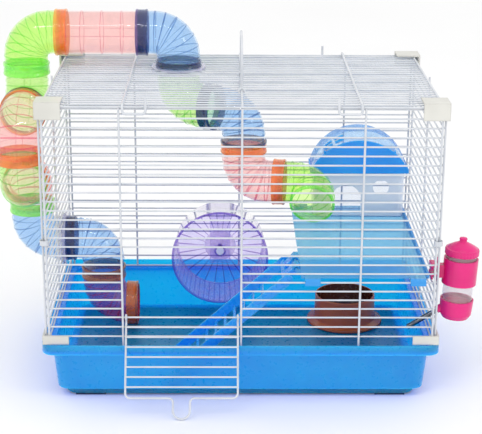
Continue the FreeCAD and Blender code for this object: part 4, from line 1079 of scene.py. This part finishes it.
@dataclass
class RunningWheel:
    """The drum with its cross bars and spokes, its axle and its hanger."""

    front_mm: float = 63.5
    back_mm: float = 59.0
    depth_mm: float = 60.0
    cone_mm: float = 9.0
    hub_mm: float = 8.0
    hub_length_mm: float = 21.0
    bore_mm: float = 3.08
    spokes: int = 26
    bars: int = 52
    steps_per_bar: int = 6
    raised_mm: float = 0.5
    # One dye looks lilac in the wall, purple in ribs and rims, and nearly clear in the disc.
    wall: TintedPlastic = TintedPlastic(
        "lilac polystyrene, clear moulded", "#CAB4F2", "#BCA4EC", body_share=0.26)
    thick: TintedPlastic = TintedPlastic(
        "purple polystyrene, thick rib", "#8462D0", "#6444B8", body_share=0.3, faces=3)
    disc: TintedPlastic = TintedPlastic(
        "lilac polystyrene, thin clear disc", "#E8E0FE", "#D6CAF8", body_share=0.06, faces=2)
    hanger: TintedPlastic = TintedPlastic(
        "pale lilac polystyrene, clear moulded", "#EFEAFC", "#DDD4F4", body_share=0.12, faces=2)
    # The polished pin is a small bright dot in the hub.
    pin: MouldedPlastic = MouldedPlastic(
        "white acetal, polished pin", "#F4F4F8", "#E8E8F0", roughness=0.15, edge_mm=1.2)

    def drum(self) -> None:
        """Make the drum: a running surface with cross bars and a spoked back."""
        low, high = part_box("wheel_drum")
        middle = (low + high) / 2
        place = Matrix.Translation(Vector((middle.x, low.y, middle.z))) @ axes_along(FAR, RIGHT)
        steps = self.bars * self.steps_per_bar
        spoke_every = steps // self.spokes
        front, back, depth = self.front_mm, self.back_mm, self.depth_mm
        bore, hub = self.bore_mm, self.hub_mm
        cone_run = depth - self.cone_mm
        hub_front = cone_run - self.hub_length_mm
        outside = [
            (front - 1.1, 0.0, Zone.RIM), (front - 0.2, 0.35, Zone.RIM),
            (front, 0.8, Zone.RIM), (front - 0.1, 1.5, Zone.WALL),
            (front - 0.9, 3.0, Zone.WALL), (back + 0.6, depth - 2.4, Zone.WALL),
            (back, depth - 0.9, Zone.RIM), (back - 1.0, depth, Zone.RIM),
            (back - 2.6, depth - 0.2, Zone.SPOKE), (44.0, 57.4, Zone.SPOKE),
            (30.0, 55.2, Zone.SPOKE), (21.0, 53.4, Zone.PLAIN),
            (bore + 8.0, cone_run, Zone.FLARE), (bore, cone_run, Zone.HUB),
            (bore, hub_front, Zone.HUB), (hub - 1.0, hub_front, Zone.HUB),
            (hub, hub_front + 1.0, Zone.HUB), (hub + 0.8, cone_run - 8.0, Zone.FLARE),
        ]
        inside = [
            (13.0, cone_run - 2.6, Zone.FLARE), (21.0, 51.7, Zone.PLAIN),
            (30.0, 53.5, Zone.SPOKE), (44.0, 55.7, Zone.SPOKE),
            (back - 3.4, depth - 2.0, Zone.SPOKE), (back - 1.9, depth - 3.4, Zone.RIM),
            (front - 3.2, 3.2, Zone.BAR), (front - 3.0, 1.0, Zone.RIM),
            (front - 2.2, 0.1, Zone.RIM),
        ]
        section = outside + inside
        inner_from = len(outside)
        bar_rows = (inner_from + 5, inner_from + 6)
        rings = []
        for row, (radius, height, zone) in enumerate(section):
            ring = []
            for s in range(steps):
                on_bar = row in bar_rows and s % self.steps_per_bar in (0, 1)
                on_spoke = row >= inner_from and zone is Zone.SPOKE and s % spoke_every in (0, 1)
                reach = radius - self.raised_mm if on_bar else radius
                along = height - self.raised_mm if on_spoke else height
                angle = 2 * math.pi * s / steps
                ring.append(place @ (Vector((reach * math.cos(angle), reach * math.sin(angle),
                                             along)) * MM))
            rings.append(ring)
        zones = [zone for _, _, zone in section]

        def look(row: int, step: int) -> int:
            """Choose the finish of a face of the drum.

            Args:
                row: the point of the section that the face starts from.
                step: the face's place round the drum.

            Returns:
                0 for the wall, 1 for rims, bars, spokes and hub, or 2 for the thin disc.
            """
            pair = {zones[row], zones[(row + 1) % len(zones)]}
            if pair in ({Zone.RIM}, {Zone.HUB}):
                return 1
            if row >= inner_from and Zone.BAR in pair:
                return 1 if step % self.steps_per_bar == 0 else 0
            if Zone.SPOKE in pair and step % spoke_every == 0:
                return 1
            return 2 if pair <= {Zone.SPOKE, Zone.PLAIN} else 0

        shape = Shape()
        shape.loops(rings, closed=True, look=look)
        stand_for(shape.piece("wheel_drum_shell", [self.wall, self.thick, self.disc], 50.0),
                  "wheel_drum")

    def build(self) -> None:
        """Make the drum and dress what carries it."""
        self.drum()
        dress(["wheel_axle"], self.pin)
        dress(["wheel_bracket"], self.hanger)


@dataclass
class ShelfAndRamp:
    """The shelf that the house stands on and the ladder that leads up to it."""

    # Milky plastic with light edges: its thin rungs look paler than its rails.
    ladder: MouldedPlastic = MouldedPlastic(
        "cobalt polypropylene, gloss moulded", "#2A9CFF", "#2294FA", roughness=0.28,
        edge_mm=0.9, milky=0.9, depth_mm=14.0)

    def build(self) -> None:
        """Dress the shelf and the ladder."""
        low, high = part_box("shelf")
        # A flat clear plate: what is under it shows, and its rim is a painted glow of darker
        # blue.
        plate = PaintedEdgeGlowPlastic(
            "ice blue polystyrene, clear moulded plate", "#9CDCF6", "#7CC8EE", "#2F9CEA",
            (low + high) / 2, (high - low) / 2)
        dress(["shelf"], plate)
        dress(["ramp"], self.ladder)


@dataclass
class HideHouse:
    """The hide: frosted walls, a blue gable roof and a ribbed clear vault behind it."""

    rib_count: int = 7
    vault_wall_mm: float = 1.5
    rib_mm: float = 1.4
    rib_lift_mm: float = 0.7
    shoulder_mm: float = 18.0
    arc_steps: int = 44
    vent_front_mm: float = 4.0
    vent_pitch_mm: float = 5.5
    vent_width_mm: float = 2.6
    vent_foot_mm: float = 1.6
    vent_flush_mm: float = 0.02
    vent_from: float = 0.62
    vent_every: float = 0.2
    vent_span: float = 0.15
    vent_steps: int = 6
    # Glossy and lit from within, the gable is the strongest blue of the house.
    roof: MouldedPlastic = MouldedPlastic(
        "cobalt polystyrene, gloss moulded", "#28A2F4", "#229AEE", roughness=0.2,
        edge_mm=0.8, milky=0.6, depth_mm=6.0)
    # Thin blue plastic in which the ribs show as deeper arcs.
    clear: TintedPlastic = TintedPlastic(
        "sky polystyrene, clear moulded", "#B8DEFE", "#98CCF8", body_share=0.34,
        flow_depth_mm=0.0)
    rib: TintedPlastic = TintedPlastic(
        "sky polystyrene, thick rib", "#96CAF8", "#7EBCF4", body_share=0.4, faces=2)

    def arc(self, along: float) -> tuple[Vector, float, float]:
        """Find the vault's arc, which swells from the gable's height to its own.

        Args:
            along: the distance behind the vault's front edge.

        Returns:
            The arc's middle at the vault's front, its radius and half its angle.
        """
        low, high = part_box("house_vault")
        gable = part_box("house_roof")[1].z - low.z
        swell = math.sin(math.pi / 2 * min(1.0, along / (self.shoulder_mm * MM)))
        half = (high.x - low.x) / 2
        rise = gable + (high.z - low.z - gable) * swell
        radius = (half * half + rise * rise) / (2 * rise)
        middle = Vector(((low.x + high.x) / 2, low.y, low.z + rise - radius))
        return middle, radius, math.asin(min(1.0, half / radius))

    def vault(self) -> None:
        """Make the ribbed vault and stand it in for its node."""
        low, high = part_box("house_vault")
        length = high.y - low.y
        wall = self.vault_wall_mm * MM
        lift = self.rib_lift_mm * MM
        width = self.rib_mm * MM
        shoulder = self.shoulder_mm * MM
        marks: list[tuple[float, float]] = [(shoulder * step / 4, 0.0) for step in range(4)]
        ribs_from = len(marks)
        for rib in range(self.rib_count):
            centre = shoulder + (length - shoulder) * (rib + 0.3) / self.rib_count
            marks += [(centre - width, 0.0), (centre - width / 2, lift),
                      (centre + width / 2, lift), (centre + width, 0.0)]
        marks.append((length, 0.0))
        rings = []
        for along, proud in marks:
            middle, radius, half = self.arc(along)
            ring = []
            for side, reach in ((1, radius - lift + proud), (-1, radius - wall - lift)):
                for s in range(self.arc_steps + 1):
                    angle = side * half * (2 * s / self.arc_steps - 1)
                    ring.append(middle + Vector((reach * math.sin(angle), along,
                                                 reach * math.cos(angle))))
            rings.append(ring)

        def look(row: int, step: int) -> int:
            """Choose the rib's finish between the four marks of a rib, and else the wall's."""
            return 1 if row >= ribs_from and (row - ribs_from) % 4 < 3 else 0

        shape = Shape()
        shape.loops(rings, look=look)
        stand_for(shape.piece("house_vault_shell", [self.clear, self.rib], 35.0), "house_vault")

    def vents(self) -> None:
        """Lay two rows of two short raised vents on the vault's left shoulder.

        Their places round the arc are shares of half its angle, from the top down.
        """
        shape = Shape()
        foot, flush = self.vent_foot_mm * MM, self.vent_flush_mm * MM
        for row in (0, 1):
            near = (self.vent_front_mm + self.vent_pitch_mm * row) * MM
            far = near + self.vent_width_mm * MM
            for column in (0, 1):
                rings = []
                for step in range(self.vent_steps + 1):
                    share = (self.vent_from - self.vent_every * column
                             - self.vent_span * step / self.vent_steps)
                    corners = []
                    for along, sink in ((near, foot), (near, flush), (far, flush), (far, foot)):
                        middle, radius, half = self.arc(along)
                        out = Vector((math.sin(-half * share), 0, math.cos(-half * share)))
                        corners.append(middle + FAR * along + out * (radius - sink))
                    rings.append(corners)
                shape.loops(rings)
        vents = shape.piece("house_vault_vents", [self.roof], 35.0)
        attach(vents, body_of("house_vault"))

    def build(self) -> None:
        """Dress the walls and the roof and make the vault with its vents."""
        low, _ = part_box("house_walls")
        # The satin mould turns the front wall a milky grey-white.
        dress(["house_walls"], FrostedWall(
            "frosted polypropylene, thin moulded box", "#F4F8FE", "#DCE6F2", low.y, 4.0))
        dress(["house_roof"], self.roof)
        self.vault()
        self.vents()


@dataclass
class FoodDish:
    """The heavy brown dish, with a rolled lip and a wide foot."""

    base_mm: float = 3.0
    radius_mm: float = 39.5
    foot_mm: float = 50.0
    height_mm: float = 38.0
    wall_mm: float = 2.4
    floor_mm: float = 8.0
    steps: int = 96
    # One glossy brown plastic, warm where light falls; the inside is painted near black as
    # shade.
    finish: MouldedPlastic = MouldedPlastic(
        "terracotta polystyrene, gloss moulded", "#C4643A", "#B25430", roughness=0.18,
        edge_mm=0.5)
    # Painted shade: the same brown plastic, painted near black inside the bowl.
    inside: MouldedPlastic = MouldedPlastic(
        "terracotta polystyrene with painted shade, gloss moulded", "#5A2A20", "#4A2018", roughness=0.25,
        edge_mm=0.5)

    def build(self) -> None:
        """Turn the dish and stand it in for its node."""
        low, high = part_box("food_dish")
        middle = (low + high) / 2
        place = Matrix.Translation(Vector((middle.x, middle.y, low.z)))
        r, w, top = self.radius_mm, self.wall_mm, self.height_mm
        profile = [
            (0.01, self.base_mm), (r - 8.0, self.base_mm), (r - 7.2, 0.3), (r - 6.5, 0.0),
            (self.foot_mm - 1.4, 0.0), (self.foot_mm - 0.3, 0.7), (self.foot_mm, 2.0),
            (self.foot_mm - 0.6, 3.4), (self.foot_mm - 3.0, 4.2), (r + 4.0, 4.6),
            (r + 1.6, 5.6), (r + 1.0, 8.0), (r + 0.2, top - 4.0), (r, top - 1.4),
            (r - 0.4, top - 0.4), (r - w / 2, top), (r - w + 0.3, top - 0.4),
            (r - w, top - 1.4), (r - w - 1.6, 14.0), (r - w - 4.0, 10.0),
            (r - w - 9.0, self.floor_mm), (0.01, self.floor_mm),
        ]
        painted_shade_from = 16

        def look(row: int, step: int) -> int:
            """Choose the finish with painted shade, near black, for the faces inside the lip."""
            return 1 if row >= painted_shade_from else 0

        shape = Shape()
        shape.turned(profile, self.steps, look=look, place=place)
        stand_for(shape.piece("food_dish_bowl", [self.finish, self.inside]), "food_dish")


@dataclass
class WaterBottle:
    """The bottle with its lid, lower cap, hanging band and steel spout."""

    # Nearly colourless, so the bottle shows mostly by its edges.
    body: TintedPlastic = TintedPlastic(
        "clear polystyrene, blown bottle", "#F3F0F4", "#F6EEF4", body_share=0.12)
    # A deep opaque pink with small sharp lights.
    caps: MouldedPlastic = MouldedPlastic(
        "magenta polystyrene, gloss moulded", "#E4207E", "#D61872", roughness=0.2,
        edge_mm=0.8)
    # The polished tube mirrors dark and light stripes.
    spout: PolishedSteel = PolishedSteel("stainless steel, polished tube", "#6C6F76")
    tilt_deg: float = 3.0
    middle_mm: float = 50.5
    flutes: int = 32
    flute_mm: float = 0.45

    def lid(self) -> None:
        """Make the screw lid: a fluted skirt, a cone and a knob."""
        low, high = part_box("bottle_body")
        turn = Matrix.Rotation(math.radians(self.tilt_deg), 4, "Y")
        foot = (low + high) / 2 - turn @ Vector((0, 0, self.middle_mm * MM))
        place = Matrix.Translation(foot) @ turn
        profile = [
            (0.01, 93.6), (4.0, 93.0), (16.2, 87.4), (18.4, 85.4), (18.4, 79.0), (19.7, 79.0),
            (20.15, 79.6), (20.15, 85.4), (19.6, 86.4), (17.6, 87.0), (16.8, 88.2),
            (11.5, 91.2), (6.4, 93.6), (4.6, 94.6), (4.2, 96.2), (4.8, 97.8), (4.3, 99.2),
            (2.4, 99.8), (0.01, 99.8),
        ]
        skirt_rows = (6, 7)
        steps = self.flutes * 4
        rings = []
        for row, (radius, height) in enumerate(profile):
            ring = []
            for s in range(steps):
                dip = self.flute_mm if row in skirt_rows and s % 4 in (2, 3) else 0.0
                angle = 2 * math.pi * s / steps
                reach = radius - dip
                ring.append(place @ (Vector((reach * math.cos(angle), reach * math.sin(angle),
                                             height)) * MM))
            rings.append(ring)
        shape = Shape()
        shape.loops(rings)
        stand_for(shape.piece("bottle_lid", [self.caps], 35.0), "bottle_top_cap")

    def build(self) -> None:
        """Dress the bottle's pieces."""
        dress(["bottle_body"], self.body)
        dress(["bottle_lower_cap", "bottle_holder"], self.caps)
        self.lid()
        dress(["spout_tube", "spout_ball"], self.spout)


# ---------------------------------------------------------------------------- studio
@dataclass(frozen=True)
class Lamp:
    """An area lamp: where it hangs, its width and height, and its power."""

    name: str
    place: tuple[float, float, float]
    size: tuple[float, float]
    watts: float


@dataclass
class Studio:
    """A pale floor, soft lamps and the camera."""

    lamps: tuple[Lamp, ...] = (
        Lamp("key", (-0.9, -1.5, 1.9), (0.9, 0.2), 6),
        Lamp("strip", (0.2, -0.9, 1.6), (1.3, 0.025), 3),
        Lamp("fill", (1.6, -0.8, 1.1), (0.4, 0.4), 2),
    )
    target: Vector = field(default_factory=lambda: Vector((0, 0, 0.18)))
    camera_place: Vector = field(default_factory=lambda: Vector((-0.0125, -1.6504, 0.7346)))
    pitch_deg: float = 18.19
    yaw_deg: float = 0.72
    roll_deg: float = 0.34
    lens_mm: float = 105.3
    sky: float = 1.0
    floor_half: float = 12.0
    clear_bounces: int = 48

    def floor(self) -> None:
        """Lay the floor."""
        # A dull sheet that takes soft shadows and shows no mirror image.
        finish = MouldedPlastic("white vinyl, rolled sheet", "#FCFCFC", "#FAFAFA",
                                roughness=0.75, cloud_mm=900.0)
        shape = Shape()
        half = self.floor_half
        shape.verts.extend(Vector((x * half, y * half, 0))
                           for x, y in ((-1, -1), (1, -1), (1, 1), (-1, 1)))
        shape.face((0, 1, 2, 3))
        shape.piece("studio_floor", [finish])

    def hang(self, lamp: Lamp) -> None:
        """Hang a lamp, pointed at the middle of the cage.

        Args:
            lamp: the lamp.
        """
        data = bpy.data.lights.new(lamp.name, "AREA")
        data.shape = "RECTANGLE"
        data.size, data.size_y = lamp.size
        data.energy = lamp.watts
        item = bpy.data.objects.new(lamp.name, data)
        item.location = Vector(lamp.place)
        item.rotation_mode = "QUATERNION"
        item.rotation_quaternion = (self.target - item.location).to_track_quat("-Z", "Y")
        bpy.context.scene.collection.objects.link(item)

    def camera(self) -> None:
        """Set up the camera."""
        data = bpy.data.cameras.new("camera")
        data.lens = self.lens_mm
        data.clip_end = 60.0
        item = bpy.data.objects.new("camera", data)
        item.location = self.camera_place
        pitch, yaw, roll = (math.radians(angle) for angle in
                            (self.pitch_deg, self.yaw_deg, self.roll_deg))
        turn = (Matrix.Rotation(-yaw, 4, "Z") @ Matrix.Rotation(math.pi / 2 - pitch, 4, "X")
                @ Matrix.Rotation(roll, 4, "Z"))
        item.rotation_euler = turn.to_euler()
        bpy.context.scene.collection.objects.link(item)
        bpy.context.scene.camera = item

    def build(self) -> None:
        """Set up the sky, the floor, the lamps and the camera.

        Standard keeps the colours as they are given, and the bounces let light cross the many
        clear walls.
        """
        scene = bpy.context.scene
        scene.view_settings.view_transform = "Standard"
        scene.cycles.transparent_max_bounces = self.clear_bounces
        world = bpy.data.worlds.new("studio")
        world.use_nodes = True
        sky = world.node_tree.nodes["Background"]
        sky.inputs["Color"].default_value = (1, 1, 1, 1)
        sky.inputs["Strength"].default_value = self.sky
        scene.world = world
        self.floor()
        for lamp in self.lamps:
            self.hang(lamp)
        self.camera()


def main() -> None:
    """Build every sub-assembly in order."""
    logging.basicConfig(level=logging.INFO, format="%(name)s: %(message)s")
    run = TunnelRun()
    for assembly in (Tray(), Wirework(), Corners(), run, CouplingRings(run), Collars(),
                     RunningWheel(), ShelfAndRamp(), HideHouse(), FoodDish(), WaterBottle(),
                     Studio()):
        log.info("building %s", type(assembly).__name__)
        assembly.build()
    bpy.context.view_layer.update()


if __name__ == "__main__":
    main()
